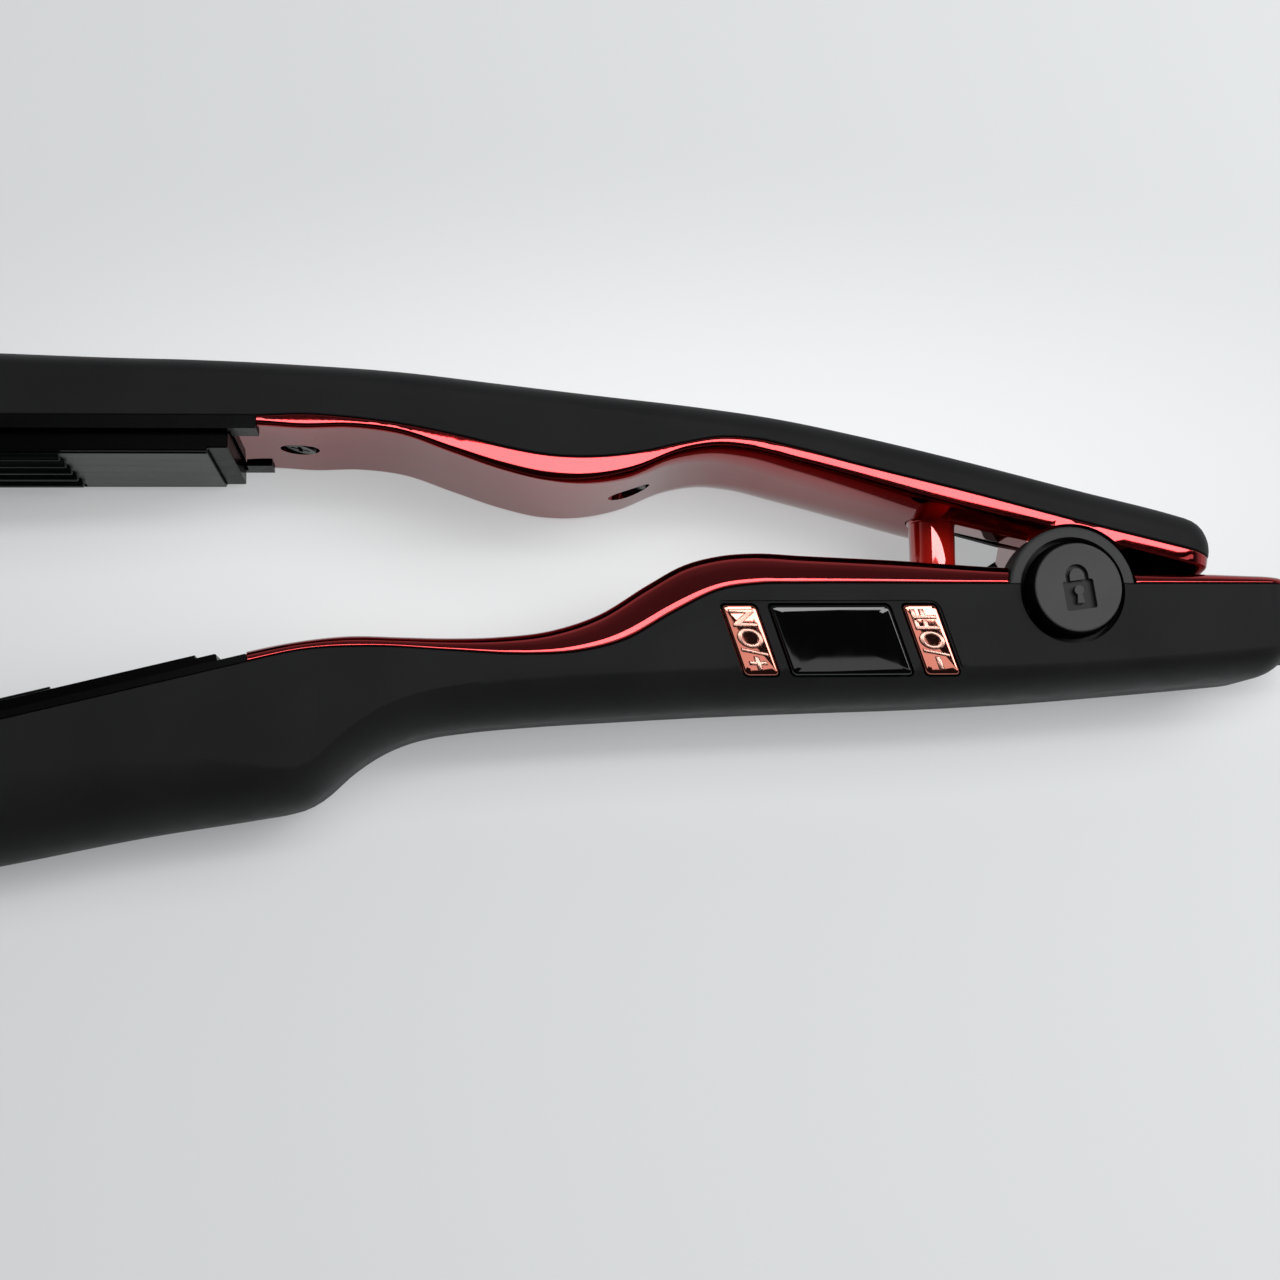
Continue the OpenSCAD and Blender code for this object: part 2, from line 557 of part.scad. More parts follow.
seat_gap = 0.4;      // the coil's turns to the seat's pin
module spring_seat() along_y(-post_x, seat_y - shell_wall / 2, 1) {
    cylinder(r = coil_r + wire_d / 2 + 2 * seat_gap, h = seat_h);
    cylinder(r = coil_r - wire_d / 2 - seat_gap, h = seat_h + seat_pin);
}
module lower_cover_solid(a, b) difference() {
    loft([for (x = ends(a, b, lower_places(a, b)))
        section(x, curve(lower_seam, x) + seam_gap, curve(lower_face, x),
            corner_inset(rear_len - x, rear_round), cover_round)]);
    difference() {
        loft([for (x = ends(a - 1, b - cover_end, lower_places(a - 1, b - cover_end)))
            section(x, curve(lower_seam, x) - 1, curve(lower_face, x) - cover_wall * stretch(lower_face, x),
                cover_wall, 1)]);
        for (x = lower_screw_xs) along_y(x, curve(lower_seam, x) - 2, 1) cylinder(r = cup_r, h = deep);
    }
}
cover_end = 2;
post_gap = 0.45;     // the slot's walls to the post
slot_run = 2.2;      // the post's travel along the slot
module lower_cover() color(chrome_red) place() difference() {
    lower_cover_solid(lower_cover_x - cover_lap, -1);
    cylinder(r = cheek_r + 3 * seam_gap, h = deep, center = true);
    screw_holes(lower_screw_xs, lower_seam, -1);
    lower_head() head_cuts();
    for (x = [-post_x, -post_x - slot_run])
        translate([x, 0, mid]) rotate([-90, 0, 0]) cylinder(r = post_r + post_gap, h = arm_w);
    translate([-post_x - slot_run, 0, mid - post_r - post_gap])
        cube([slot_run, arm_w, 2 * (post_r + post_gap)]);
}
// The cover's end: a tongue between the rim's prongs, behind the carrier's cap
cover_lap = 6;
module head_cuts() {
    high = 10;
    block(cap_u - 2 * cover_lap, cap_u + pocket_gap, -high, high, -e, arm_w + e);
    for (z = [-e, arm_w - prong_w - seam_gap])
        block(cap_u - e, cover_u + seam_gap, -high, high, z, z + prong_w + seam_gap + e);
}
module lower_tail_cover() color(chrome_red) place() difference() {
    lower_cover_solid(1, rear_len);
    cylinder(r = cheek_r + 3 * seam_gap, h = deep, center = true);
}
cheek_lip = 0.8;     // wall of the cheek around the well, inside the shell
// Cheeks stand up from the seam and reach down inside the shell's wall
module cheek() {
    seam_y = curve(lower_seam, 0) + seam_gap / 2;
    difference() {
        union() {
            intersection() {
                cylinder(r = cheek_r, h = cheek_t);
                translate([-cheek_r, seam_y, 0]) cube([2 * cheek_r, 2 * cheek_r, cheek_t]);
            }
            translate([0, 0, shell_wall + seam_gap])
                cylinder(r = well_r + cheek_lip, h = cheek_t - shell_wall - seam_gap);
        }
        translate([0, 0, -e]) cylinder(r = well_r, h = well_floor + e);
        cylinder(r = sleeve_r, h = deep);
    }
}
module near_hinge_cheek() color(black) place() difference() {
    translate([0, 0, arm_w]) mirror([0, 0, 1]) cheek();
    translate([0, 0, mid]) sector(tab_in - tab_gap, tab_out + tab_gap, tab_at - tab_angle / 2 - tab_clear,
        tab_at + tab_angle / 2 + tab_clear, arm_w);
}
module far_hinge_cheek() color(black) place() cheek();
module hinge_sleeve() color(steel) place() difference() {
    translate([0, 0, well_floor]) cylinder(r = sleeve_r, h = arm_w - 2 * well_floor);
    cylinder(r = spindle_r + run_clear, h = deep, center = true);
}
module hinge_washers() color(steel) place() for (z = [cheek_t, arm_w - cheek_t - washer_t])
    translate([0, 0, z]) difference() {
        cylinder(r = washer_r, h = washer_t);
        cylinder(r = sleeve_r + run_clear, h = deep, center = true);
    }
module lower_plate_frame() color(gloss_black) place() lower_head() plate_frame(lower_rim_drop, lower_rim_t);
module lower_plate_pads() color(silicone) place() lower_head() plate_pads();
module lower_plate_carrier() color(gloss_black) place() lower_head() plate_carrier();
module lower_plate() color(ceramic) place() lower_head() plate(-1);
module lower_heater() color(white) place() lower_head() heater();
module lower_mica_sheet() color(mica) place() lower_head() mica_sheet();
module lower_temperature_sensor() color(brass) place() lower_head() temperature_sensor();
module lower_cover_screws() color(steel) place() cover_screws(lower_screw_xs, lower_seam, -1);

board_y = [-15.4, 0.2];   // lower and upper edge of the board
board_w = board_y[1] - board_y[0];
module control_board() color(board_green) place()
    translate([-panel_x - board_len / 2, board_y[0], board_z]) cube([board_len, board_w, board_t]);
switch_w = 4.6;
stem_r = 1.2;
module key_switches() color(steel) place() for (x = [-key_x, key_x])
    translate([-panel_x + x, -panel_y, board_z + board_t]) {
        translate([-switch_w / 2, -switch_w / 2, 0]) cube([switch_w, switch_w, switch_h]);
        cylinder(r = stem_r, h = switch_h + stem_h);
    }
window_t = 1.4;
display_margin = 1.2;
display_z = board_z + board_t;
module display_module() color(white) place()
    translate([-panel_x - window_w / 2 + display_margin, -panel_y - panel_h / 2 + display_margin, display_z])
        cube([window_w - 2 * display_margin, panel_h - 2 * display_margin, wall_in - key_flange - display_z]);
module display_window() color(gloss_black) place() {
    panel_cell(0, window_w, 0, arm_w - window_t, arm_w);
    panel_cell(0, window_w, -key_flange_w, wall_in - key_flange, arm_w - window_t + e);
}
module on_key() color(rose) place() union() {
    key(-key_x);
    key_mark(-key_x, true);
}
module off_key() color(rose) place() union() {
    key(key_x);
    key_mark(key_x, false);
}
fuse_r = 2;
fuse_len = 9;
fuse_gap = 1.2;      // fuse to the shell's near wall
fuse_z = wall_in - fuse_gap - fuse_len;
module thermal_fuse() color(brass) place() lower_head()
    translate([cover_u + fuse_r + fit, carrier_back, fuse_z]) cylinder(r = fuse_r, h = fuse_len);
terminal_at = [18, -12.5];
terminal_size = [9, 8, 12];
terminal_hole = 1.2;
module terminal_block() color(white) place() translate([terminal_at[0], terminal_at[1], mid]) difference() {
    translate([0, 0, -terminal_size[2] / 2]) cube(terminal_size);
    for (z = [-3, 3]) translate([terminal_size[0] / 2, 0, z]) rotate([-90, 0, 0])
        cylinder(r = terminal_hole, h = deep);
}
// Opening spring: a helix of wire from the seat to the bottom of the post
post_end = 1.6;
spring_low = seat_y - shell_wall / 2 + seat_h;
module opening_spring() color(steel) place() {
    sides = 6;
    per_turn = 14;
    count = coil_turns * per_turn;
    rise = post_end - spring_low - wire_d;
    loft_tube([for (i = [0:count]) let (a = 360 * i / per_turn)
        [-post_x + coil_r * cos(a), spring_low + wire_d / 2 + rise * i / count, mid + coil_r * sin(a)]],
        wire_d / 2, sides);
}
// A round tube through a list of points; tube_up is no direction that a tube takes
function unit(v) = v / norm(v);
tube_up = unit([0.05, 1, 0.03]);
module loft_tube(pts, r, sides) {
    n = len(pts);
    rings = [for (k = [0:n - 1])
        let (t = unit(pts[min(k + 1, n - 1)] - pts[max(k - 1, 0)]), s = unit(cross(t, tube_up)),
            q = cross(s, t))
        each [for (i = [0:sides - 1]) let (a = 360 * i / sides) pts[k] + r * cos(a) * s + r * sin(a) * q]];
    walls = [for (k = [0:n - 2], i = [0:sides - 1])
        let (j = (i + 1) % sides, a = k * sides + i, b = k * sides + j)
        each [[a, a + sides, b + sides], [a, b + sides, b]]];
    caps = [[for (i = [0:sides - 1]) i], [for (i = [sides - 1:-1:0]) (n - 1) * sides + i]];
    polyhedron(rings, concat(walls, caps), convexity = 8);
}
gland_flange = 2.5;  // flange inside the rear wall
gland_collar = 3;    // collar outside it
nose_wall = 1.2;     // wall at the nose's end
module cord_gland() color(black) place() translate([rear_len, gland_y, mid]) rotate([0, 90, 0]) difference() {
    cone = gland_nose - gland_collar;
    union() {
        translate([0, 0, -rear_wall - gland_flange]) cylinder(r = gland_r, h = gland_flange - seam_gap);
        translate([0, 0, -rear_wall - gland_flange])
            cylinder(r = gland_neck, h = rear_wall + 2 * gland_flange);
        translate([0, 0, 2 * seam_gap]) cylinder(r = gland_r, h = gland_collar);
        translate([0, 0, gland_collar]) cylinder(r1 = gland_r, r2 = gland_bore + nose_wall, h = cone);
    }
    cylinder(r = gland_bore, h = deep, center = true);
}

// ============ Upper arm ============
recess_x = -22.9;    // where the upper cover's inner face ends, before the hinge
recess_end = 5;      // and where it starts again, before the tail's end
module upper_shell() color(black) open_arm() union() {
    difference() {
        loft([for (x = upper_xs)
            section(x, curve(upper_seam, x), upper_back_y(x), upper_inset(x), handle_round)]);
        upper_cavity();
    }
    screw_bosses(upper_screw_xs, upper_seam, upper_back, 1);
}
module upper_cavity() {
    a = upper_tip + shell_wall;
    b = tail_len - 2 * shell_wall;
    loft([for (x = ends(a, b, upper_places(a, b)))
        section(x, curve(upper_seam, x) - 1, upper_back_y(x) - shell_wall * stretch(upper_back, x),
            shell_wall + corner_inset(x - a, tip_round - shell_wall),
            max(cavity_round, handle_round - shell_wall))]);
}
module upper_cover() color(chrome_red) open_arm() difference() {
    from = upper_cover_x - cover_lap;
    loft([for (x = ends(from, tail_len, upper_places(from, tail_len)))
        section(x, curve(upper_seam, x) - seam_gap, curve(upper_face, x),
            corner_inset(tail_len - x, rear_round), cover_round)]);
    difference() {
        a = from - 1;
        b = tail_len - cover_end;
        loft([for (x = ends(a, b, upper_places(a, b)))
            section(x, curve(upper_seam, x) + 1, curve(upper_face, x) + cover_wall * stretch(upper_face, x),
                cover_wall, 1)]);
        for (x = upper_screw_xs) along_y(x, curve(upper_seam, x) + 2, -1) cylinder(r = cup_r, h = deep);
    }
    cylinder(r = cheek_r + 4 * seam_gap, h = deep, center = true);
    translate([recess_x, 0, cover_wall])
        cube([tail_len - recess_end - recess_x, arm_w, arm_w - 2 * cover_wall]);
    rotate([0, 0, open_angle]) post_place() cylinder(r = collar_r + 2 * seam_gap, h = arm_w);
    screw_holes(upper_screw_xs, upper_seam, 1);
    upper_head() head_cuts();
}
module post_place() translate([-post_x, 0, mid]) rotate([-90, 0, 0]) children();
post_top = 17.6;     // top of the boss that holds the post
spigot_r = 2;
spigot_gap = 0.4;    // wall left above the spigot
tongue_y = 9.9;      // underside of the knuckle's tongue, closed
tongue_w = 7;
knuckle_block = [-19, 9, 15.6];   // the part held inside the upper shell: ends along X, and top
knuckle_seat = 12.9; // its underside
column = 7.5;        // half the length of the column between hub and block
module hinge_knuckle() color(chrome_red) open_arm() {
    wide = arm_w - 2 * knuckle_z;
    difference() {
        union() {
            translate([0, 0, knuckle_z]) cylinder(r = knuckle_r, h = wide);
            translate([-column, 0, knuckle_z]) cube([2 * column, knuckle_block[2], wide]);
            translate([knuckle_block[0], knuckle_seat, knuckle_z])
                cube([knuckle_block[1] - knuckle_block[0], knuckle_block[2] - knuckle_seat, wide]);
            translate([-post_x - 1, tongue_y, mid - tongue_w / 2])
                cube([post_x, knuckle_seat - tongue_y + e, tongue_w]);
            rotate([0, 0, open_angle]) post_place()
                translate([0, 0, post_top - collar_h]) cylinder(r = collar_r, h = collar_h);
        }
        cylinder(r = sleeve_r + run_clear, h = deep, center = true);
        translate([0, 0, arm_w - knuckle_z - lock_travel]) difference() {
            sector(tab_in - 2 * tab_gap, tab_out + 2 * tab_gap, tab_at - tab_play, tab_at + tab_play,
                cheek_t);
            translate([0, 0, -1]) sector(tab_in - 1, tab_out + 1, tab_at + tooth_at - tooth_angle / 2,
                tab_at + tooth_at + tooth_angle / 2, 2 * cheek_t);
        }
        rotate([0, 0, open_angle]) post_place() {
            cylinder(r = post_r + fit, h = post_top - collar_h);
            cylinder(r = spigot_r + fit, h = post_top - spigot_gap);
        }
    }
}
module spring_post() color(chrome_red) place() post_place() {
    translate([0, 0, post_end]) cylinder(r = post_r, h = post_top - collar_h - post_end);
    translate([0, 0, post_end]) cylinder(r = spigot_r, h = post_top - spigot_gap - fit - post_end);
}
module upper_plate_frame() color(gloss_black) open_arm() upper_head()
    plate_frame(upper_rim_drop, upper_rim_t);
module upper_plate_pads() color(silicone) open_arm() upper_head() plate_pads();
module upper_plate_carrier() color(gloss_black) open_arm() upper_head() plate_carrier();
module upper_plate() color(ceramic) open_arm() upper_head() plate(1);
module upper_heater() color(white) open_arm() upper_head() heater();
module upper_mica_sheet() color(mica) open_arm() upper_head() mica_sheet();
module upper_temperature_sensor() color(brass) open_arm() upper_head() temperature_sensor();
module upper_cover_screws() color(steel) open_arm() cover_screws(upper_screw_xs, upper_seam, 1);

// ============ Lock ============
engrave = 0.4;
sign_turn = 6;
button_hole = 1;     // depth at which the spindle enters each button
module lock_button() color(black) place() translate([0, 0, arm_w + lock_travel - lock_t]) difference() {
    cylinder(r = lock_r, h = lock_t);
    translate([0, 0, lock_t - engrave]) rotate([0, 0, sign_turn]) linear_extrude(1) padlock();
    cylinder(r = spindle_r, h = button_hole);
}
// Padlock sign: a body with a keyhole under a shackle
sign_body = [6.2, 5];
sign_drop = 1.4;
sign_line = 0.8;
keyhole_r = 0.65;
keyhole_h = 1.6;
shackle_r = 2.1;
module padlock() {
    translate([0, -sign_drop]) difference() {
        square(sign_body, center = true);
        square([sign_body[0] - sign_line, sign_body[1] - sign_line], center = true);
    }
    translate([0, keyhole_r - sign_drop]) circle(r = keyhole_r);
    translate([-keyhole_r / 2, keyhole_r - sign_drop - keyhole_h]) square([keyhole_r, keyhole_h]);
    translate([0, sign_body[1] / 2 - sign_drop]) difference() {
        shackle(shackle_r);
        shackle(shackle_r - sign_line);
    }
}
module shackle(r) {
    translate([0, sign_drop]) circle(r = r);
    translate([-r, 0]) square([2 * r, sign_drop]);
}
module lock_spindle() color(steel) place() translate([0, 0, lock_t - button_hole + fit])
    cylinder(r = spindle_r, h = arm_w + lock_travel - 2 * (lock_t - button_hole + fit));
tab_floor = 0.2;     // the tab stops short of the cheek's inner face
module lock_tab() color(steel) place() translate([0, 0, arm_w - cheek_t + tab_floor])
    sector(tab_in, tab_out, tab_at - tab_angle / 2, tab_at + tab_angle / 2,
        cheek_t + lock_travel - lock_t - tab_floor);
module release_button() color(black) place() difference() {
    cylinder(r = lock_r, h = lock_t);
    translate([0, 0, lock_t - button_hole]) cylinder(r = spindle_r, h = deep);
}

// ============ Leads ============
lead_r = 0.9;
// Two leads beside one route of points [x, y, z, offset along y, offset along z]
module leads(route) for (side = [-1, 1])
    loft_tube([for (p = route) [p[0], p[1] + side * p[3], p[2] + side * p[4]]], lead_r, 8);
lead_end = board_z + board_t / 2;
lower_route = [[-135, -21, mid, 0, 6.5], [-130, -19, mid, 0, 6.5], [-122, -16.6, mid, 0, 6.5],
    [-113, -15.6, mid, 0, 6.5], [-100, -15.2, mid, 0, 6.5], [-90, -14, mid + 1, 0.5, 5],
    [-80, -11, mid + 4, 2, 3.5], [-72, -9, lead_end - 2.2, 3, 1], [-66, -8.5, lead_end - 0.2, 3, 0],
    [-panel_x - board_len / 2 - 0.1, -8.5, lead_end, 3, 0]];
upper_route = [[-136, 1.6, mid, 0, 6.5], [-130, 4.4, mid, 0, 6.5], [-122, 6.6, mid, 0, 5.5],
    [-112, 8.2, mid, 0, 5], [-100, 9.2, mid, 0, 5], [-86, 10.4, mid, 0, 5], [-70, 14, mid, 0, 5],
    [-58, 15.4, mid, 0, 5], [-44, 15.6, mid, 0, 5], [-32, 15.6, mid, 0, 5], [-19.1, 15.4, mid, 0, 5]];
module lower_heater_leads() color(white) place() leads(lower_route);
module upper_heater_leads() color(white) open_arm() leads(upper_route);

lower_shell();
lower_cover();
lower_tail_cover();
near_hinge_cheek();
far_hinge_cheek();
hinge_sleeve();
hinge_washers();
lower_plate_frame();
lower_plate_pads();
lower_plate_carrier();
lower_plate();
lower_heater();
lower_mica_sheet();
lower_temperature_sensor();
lower_cover_screws();
control_board();
key_switches();
display_module();
display_window();
on_key();
off_key();
thermal_fuse();
terminal_block();
opening_spring();
cord_gland();
upper_shell();
upper_cover();
hinge_knuckle();
spring_post();
upper_plate_frame();
upper_plate_pads();
upper_plate_carrier();
upper_plate();
upper_heater();
upper_mica_sheet();
upper_temperature_sensor();
upper_cover_screws();
lock_button();
lock_spindle();
lock_tab();
release_button();
lower_heater_leads();
upper_heater_leads();
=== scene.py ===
"""Hair crimper: the looks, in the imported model's frame. Lengths below are in millimetres about the
hinge axis (design axes of the part's source) until they are turned into the row frame by to_row()."""
import math

import bmesh
import bpy
import numpy as np
from mathutils import Matrix, Vector


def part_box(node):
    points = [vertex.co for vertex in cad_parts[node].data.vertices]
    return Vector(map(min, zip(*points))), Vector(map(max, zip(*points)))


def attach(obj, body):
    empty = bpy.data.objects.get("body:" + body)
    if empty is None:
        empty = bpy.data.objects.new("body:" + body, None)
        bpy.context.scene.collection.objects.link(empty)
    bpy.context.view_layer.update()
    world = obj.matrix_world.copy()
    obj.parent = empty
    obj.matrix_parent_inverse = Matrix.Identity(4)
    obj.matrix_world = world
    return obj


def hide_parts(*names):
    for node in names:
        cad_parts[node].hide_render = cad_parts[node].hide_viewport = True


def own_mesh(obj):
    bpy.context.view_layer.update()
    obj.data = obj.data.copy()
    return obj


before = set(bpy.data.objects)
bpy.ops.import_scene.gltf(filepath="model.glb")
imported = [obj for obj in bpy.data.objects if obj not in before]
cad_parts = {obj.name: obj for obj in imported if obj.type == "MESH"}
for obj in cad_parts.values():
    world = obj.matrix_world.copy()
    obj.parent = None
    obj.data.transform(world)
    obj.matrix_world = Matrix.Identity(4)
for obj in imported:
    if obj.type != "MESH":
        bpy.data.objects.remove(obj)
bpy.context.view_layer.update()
MM = 0.001
sleeve_low, sleeve_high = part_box("hinge_sleeve")
# The hinge axis in the row frame
AXIS = np.array([(sleeve_low[0] + sleeve_high[0]) / 2, (sleeve_low[1] + sleeve_high[1]) / 2, 0.0])
ARM_W = 32.0                 # width of both arms, from flat side to flat side
MIDDLE = ARM_W / 2
OPEN = math.radians(13)      # how far the upper arm stands open at rest
TILT = math.radians(13.3)    # of the closed plates to the handle's length

# ------------------------------------------------------------------ camera
# Readings from the photograph, in its pixels from the upper left corner
PHOTO_SIZE = 1280.0
FOCAL = 1830.0               # chosen as plausible, as one photograph doesn't settle it
DEPTH_AT = (460.0, 895.0)    # where lines along the hinge axis meet
LEVEL_Y = 583.0              # height of the level parting line, so of the place where lengthwise lines meet
HINGE_AT = (1073.0, 590.0)   # the hinge axis on the near flat side
HINGE_FAR = 318.0            # how far from the camera that is in millimetres, which sets the scale


def photo_camera():
    """The camera that the readings give."""
    middle = PHOTO_SIZE / 2
    z = Vector((middle - DEPTH_AT[0], DEPTH_AT[1] - middle, FOCAL)).normalized()
    rise = (middle - LEVEL_Y) / FOCAL
    x = Vector(((z.z - z.y * rise) / z.x, rise, -1.0)).normalized()
    turn = Matrix((x, z.cross(x), z))   # rows: the object's axes as the camera sees them
    ray = Vector((HINGE_AT[0] - middle, middle - HINGE_AT[1], -FOCAL)).normalized()
    at = Vector((0, 0, ARM_W)) - turn @ (HINGE_FAR * ray)
    cam = bpy.data.objects.new("camera", bpy.data.cameras.new("camera"))
    bpy.context.scene.collection.objects.link(cam)
    cam.data.sensor_width = 36.0
    cam.data.lens = cam.data.sensor_width * FOCAL / PHOTO_SIZE
    cam.data.clip_start, cam.data.clip_end = 0.01, 20.0
    cam.matrix_world = Matrix.Translation(at * MM + Vector(AXIS)) @ turn.to_4x4()
    return cam


bpy.context.scene.camera = photo_camera()
bpy.context.scene.view_settings.view_transform = "Standard"

# ------------------------------------------------------------------ outlines (as in the part's source)
PLATE_REAR, PLATE_OFF = 144.4, 24.0       # hinge axis to the plates' rear, and to the plane where they meet
PLATE_LENGTH, NOSE_LENGTH = 91.4, 10.2
FRONT = PLATE_REAR + PLATE_LENGTH + NOSE_LENGTH
REAR, TAIL = 40.0, 24.0                   # hinge axis to the rear ends of the lower and the upper arm
SEAM = 0.1                                # gap between pieces that meet at a seam
LOW_RIM_DROP, LOW_RIM = 2.4, 1.2          # the plate frames' rims: depth of the face, and thickness
UP_RIM_DROP, UP_RIM = 3.6, 2.2
LOW_H, UP_H = LOW_RIM_DROP + LOW_RIM + SEAM, UP_RIM_DROP + UP_RIM + SEAM
TIP_ROUND, REAR_ROUND = 8.0, 6.0
RIM_TAIL, REAR_CAP = 8.2, 3.4             # how far the rim and the carrier's cap reach behind the plate
COVER_U, CAP_U = -PLATE_REAR + RIM_TAIL, -PLATE_REAR + REAR_CAP


def head_x(u, v):
    return u * math.cos(TILT) - v * math.sin(TILT)


def head_y(x, v):
    return (v + x * math.sin(TILT)) / math.cos(TILT)


LOW_TIP, UP_TIP = head_x(-FRONT, PLATE_OFF - LOW_H), head_x(-FRONT, PLATE_OFF + UP_H)
LOW_CX, UP_CX = head_x(COVER_U, PLATE_OFF - LOW_H), head_x(COVER_U, PLATE_OFF + UP_H)
low_seam = [(x, head_y(x, PLATE_OFF - LOW_H)) for x in (LOW_TIP, -195, -160, -146, LOW_CX)] + [
    (-129, -9.8), (-117, -9.2), (-105, -9.9), (-92, -10.6), (-84, -10.2), (-76, -8.2), (-68, -3.7),
    (-60, 0.1), (-54, 1), (-46, 1.15), (-20, 1.15), (50, 1.15)]
low_face = [(-146, -11.9), (-138, -9.7), (-129, -7.9), (-121, -7.1), (-113, -7.3), (-105, -7.5),
            (-97, -7.3), (-88, -6.2), (-80, -3.5), (-72, 1.4), (-66, 4.7), (-60, 6.3), (-54, 6.8),
            (-46, 6.4), (-30, 5.6), (-12, 4.4), (14, 3.5), (22, 3.25), (50, 2.2)]
low_back = [(-252, -50.8), (-235, -50.6), (-215, -48), (-185, -43.8), (-157, -39.2), (-147, -37.8),
            (-137, -36.3), (-131, -35.2), (-129, -34.6), (-126.5, -33.2), (-121, -28.4), (-117, -25.7),
            (-112, -23.5), (-108, -22.5), (-103, -21.8), (-90, -20.7), (-77, -20), (-60, -19.2),
            (-42, -18.6), (-24, -18.1), (-5, -17.2), (13, -15.9), (23, -15.1), (50, -12.8)]
up_seam = [(x, head_y(x, PLATE_OFF + UP_H)) for x in (UP_TIP, -195, -160, -146, UP_CX)] + [
    (-132, -0.2), (-124, 1.1), (-116, 1.9), (-106, 2.2), (-98, 2.1), (-91, 2.5), (-84, 3.9),
    (-76, 6.7), (-70, 9.6), (-64, 12.1), (-58, 13.2), (-50, 13.3), (-40, 13), (-20, 12.7),
    (0, 12.1), (14, 11.9), (30, 11.6)]
up_face = [(-148, -6.2), (-139, -3.8), (-132, -2.6), (-124, -0.6), (-116, 0.2), (-107, -0.8),
           (-98, -1.75), (-91, -1.8), (-84, -0.6), (-77, 2.3), (-70, 7), (-64, 9.4), (-58, 10.2),
           (-50, 10), (-36, 9.45), (-28, 9.1), (-11, 8.8), (13, 8.5), (21, 8.5), (30, 10.4)]
up_back = [(-256, -17.4), (-240, -14.6), (-220, -9.2), (-190, -2.2), (-163, 3.6), (-151, 6.3),
           (-135, 9.3), (-119, 11.9), (-102, 13.8), (-85, 15.6), (-68, 17.4), (-55, 18.4), (-40, 18.7),
           (-23, 18.6), (0, 18.1), (14, 17.9), (30, 16.8)]
# Width of the shells' and covers' rounded edges along y and along z, and the angle in degrees at which
# the lower shell's edge leaves the flat side, by place
low_edge_y = [(-252, 13), (-165, 13), (-142, 10), (-129, 6.4), (-118, 6), (-100, 6.4), (-40, 6), (-10, 5),
              (50, 4.6)]
low_edge_z = [(-252, 15.4), (-165, 15.4), (-142, 15), (-125, 12.5), (-100, 12), (50, 11)]
low_crease = [(-252, 0), (-150, 0), (-136, 10), (-122, 20), (-60, 20), (-30, 14), (-10, 6), (50, 0)]
up_edge_z = [(-256, 10), (-165, 9), (-100, 7.5), (-60, 5), (30, 4)]
up_cover_y = [(-150, 0.8), (-112, 0.85), (-97, 1.25), (30, 1.25)]
up_cover_z = [(-150, 1.3), (-90, 1.3), (-76, 4), (-60, 9), (30, 10)]
UP_EDGE_Y = 4.0                           # the upper shell's edge along y, the same all along
LOW_COVER_EDGE = (9.0, 3.4, 0.1)          # the lower covers' edge along y and along z, and at the seam
LEAN_FROM, LEAN_OVER = -150, 40           # in front of this place the sections start to lean with the plates


def curve(s, x):
    """Smooth curve through the stations, at x."""
    n = len(s) - 1
    i = 0
    while i < n - 1 and x >= s[i + 1][0]:
        i += 1

    def slope(k):
        if k == 0:
            return (s[1][1] - s[0][1]) / (s[1][0] - s[0][0])
        if k == n:
            return (s[n][1] - s[n - 1][1]) / (s[n][0] - s[n - 1][0])
        a, b = s[k][0] - s[k - 1][0], s[k + 1][0] - s[k][0]
        return ((s[k][1] - s[k - 1][1]) * b / a + (s[k + 1][1] - s[k][1]) * a / b) / (a + b)

    w = s[i + 1][0] - s[i][0]
    t = (x - s[i][0]) / w
    a, b, d = slope(i) * w, slope(i + 1) * w, s[i + 1][1] - s[i][1]
    return s[i][1] + t * a + t * t * (3 * d - 2 * a - b) + t ** 3 * (a + b - 2 * d)


def stretch(s, x):
    """How many times its own thickness a wall along the curve measures along y, at x."""
    return math.sqrt(1 + (curve(s, x + 0.5) - curve(s, x - 0.5)) ** 2)


def corner_inset(d, r):
    """How far a corner of radius r stands in at the distance d from the end."""
    return 0.0 if d >= r else r - math.sqrt(r * r - (r - max(d, 0)) ** 2)


def nose(d, r, end):
    """Share of an arm's depth at the distance d from its end: from end to the whole over r."""
    return 1.0 if d >= r else end + (1 - end) * math.sqrt(1 - (1 - max(d, 0) / r) ** 2)


def lean(x):
    return math.tan(TILT) * min(1, max(0, (LEAN_FROM - x) / LEAN_OVER))


TIP_SHARE, LOW_END_SHARE, UP_END_SHARE = 0.45, 0.8, 0.35   # of the depth that is left at the arms' very ends


def low_back_y(x):
    y0 = curve(low_seam, x)
    shares = (curve(low_back, x) - y0) * nose(x - LOW_TIP, TIP_ROUND, TIP_SHARE)
    return y0 + shares * nose(REAR - x, REAR_ROUND, LOW_END_SHARE)


def up_back_y(x):
    y0 = curve(up_seam, x)
    shares = (curve(up_back, x) - y0) * nose(x - UP_TIP, TIP_ROUND, TIP_SHARE)
    return y0 + shares * nose(TAIL - x, REAR_ROUND, UP_END_SHARE)


# ------------------------------------------------------------------ mesh helpers
# Faces of a box whose corners change along z first, then y, then x
BOX_FACES = [(0, 1, 3, 2), (4, 6, 7, 5), (0, 4, 5, 1), (2, 3, 7, 6), (0, 2, 6, 4), (1, 5, 7, 3)]
SEAM_SHARE, DEPTH_SHARE, WIDTH_SHARE = 0.3, 0.94, 0.49   # the most of a section that its rounded corners take
MERGE = 0.003                # points closer than this become one


def arm_of(side):
    return "up" if side > 0 else "low"


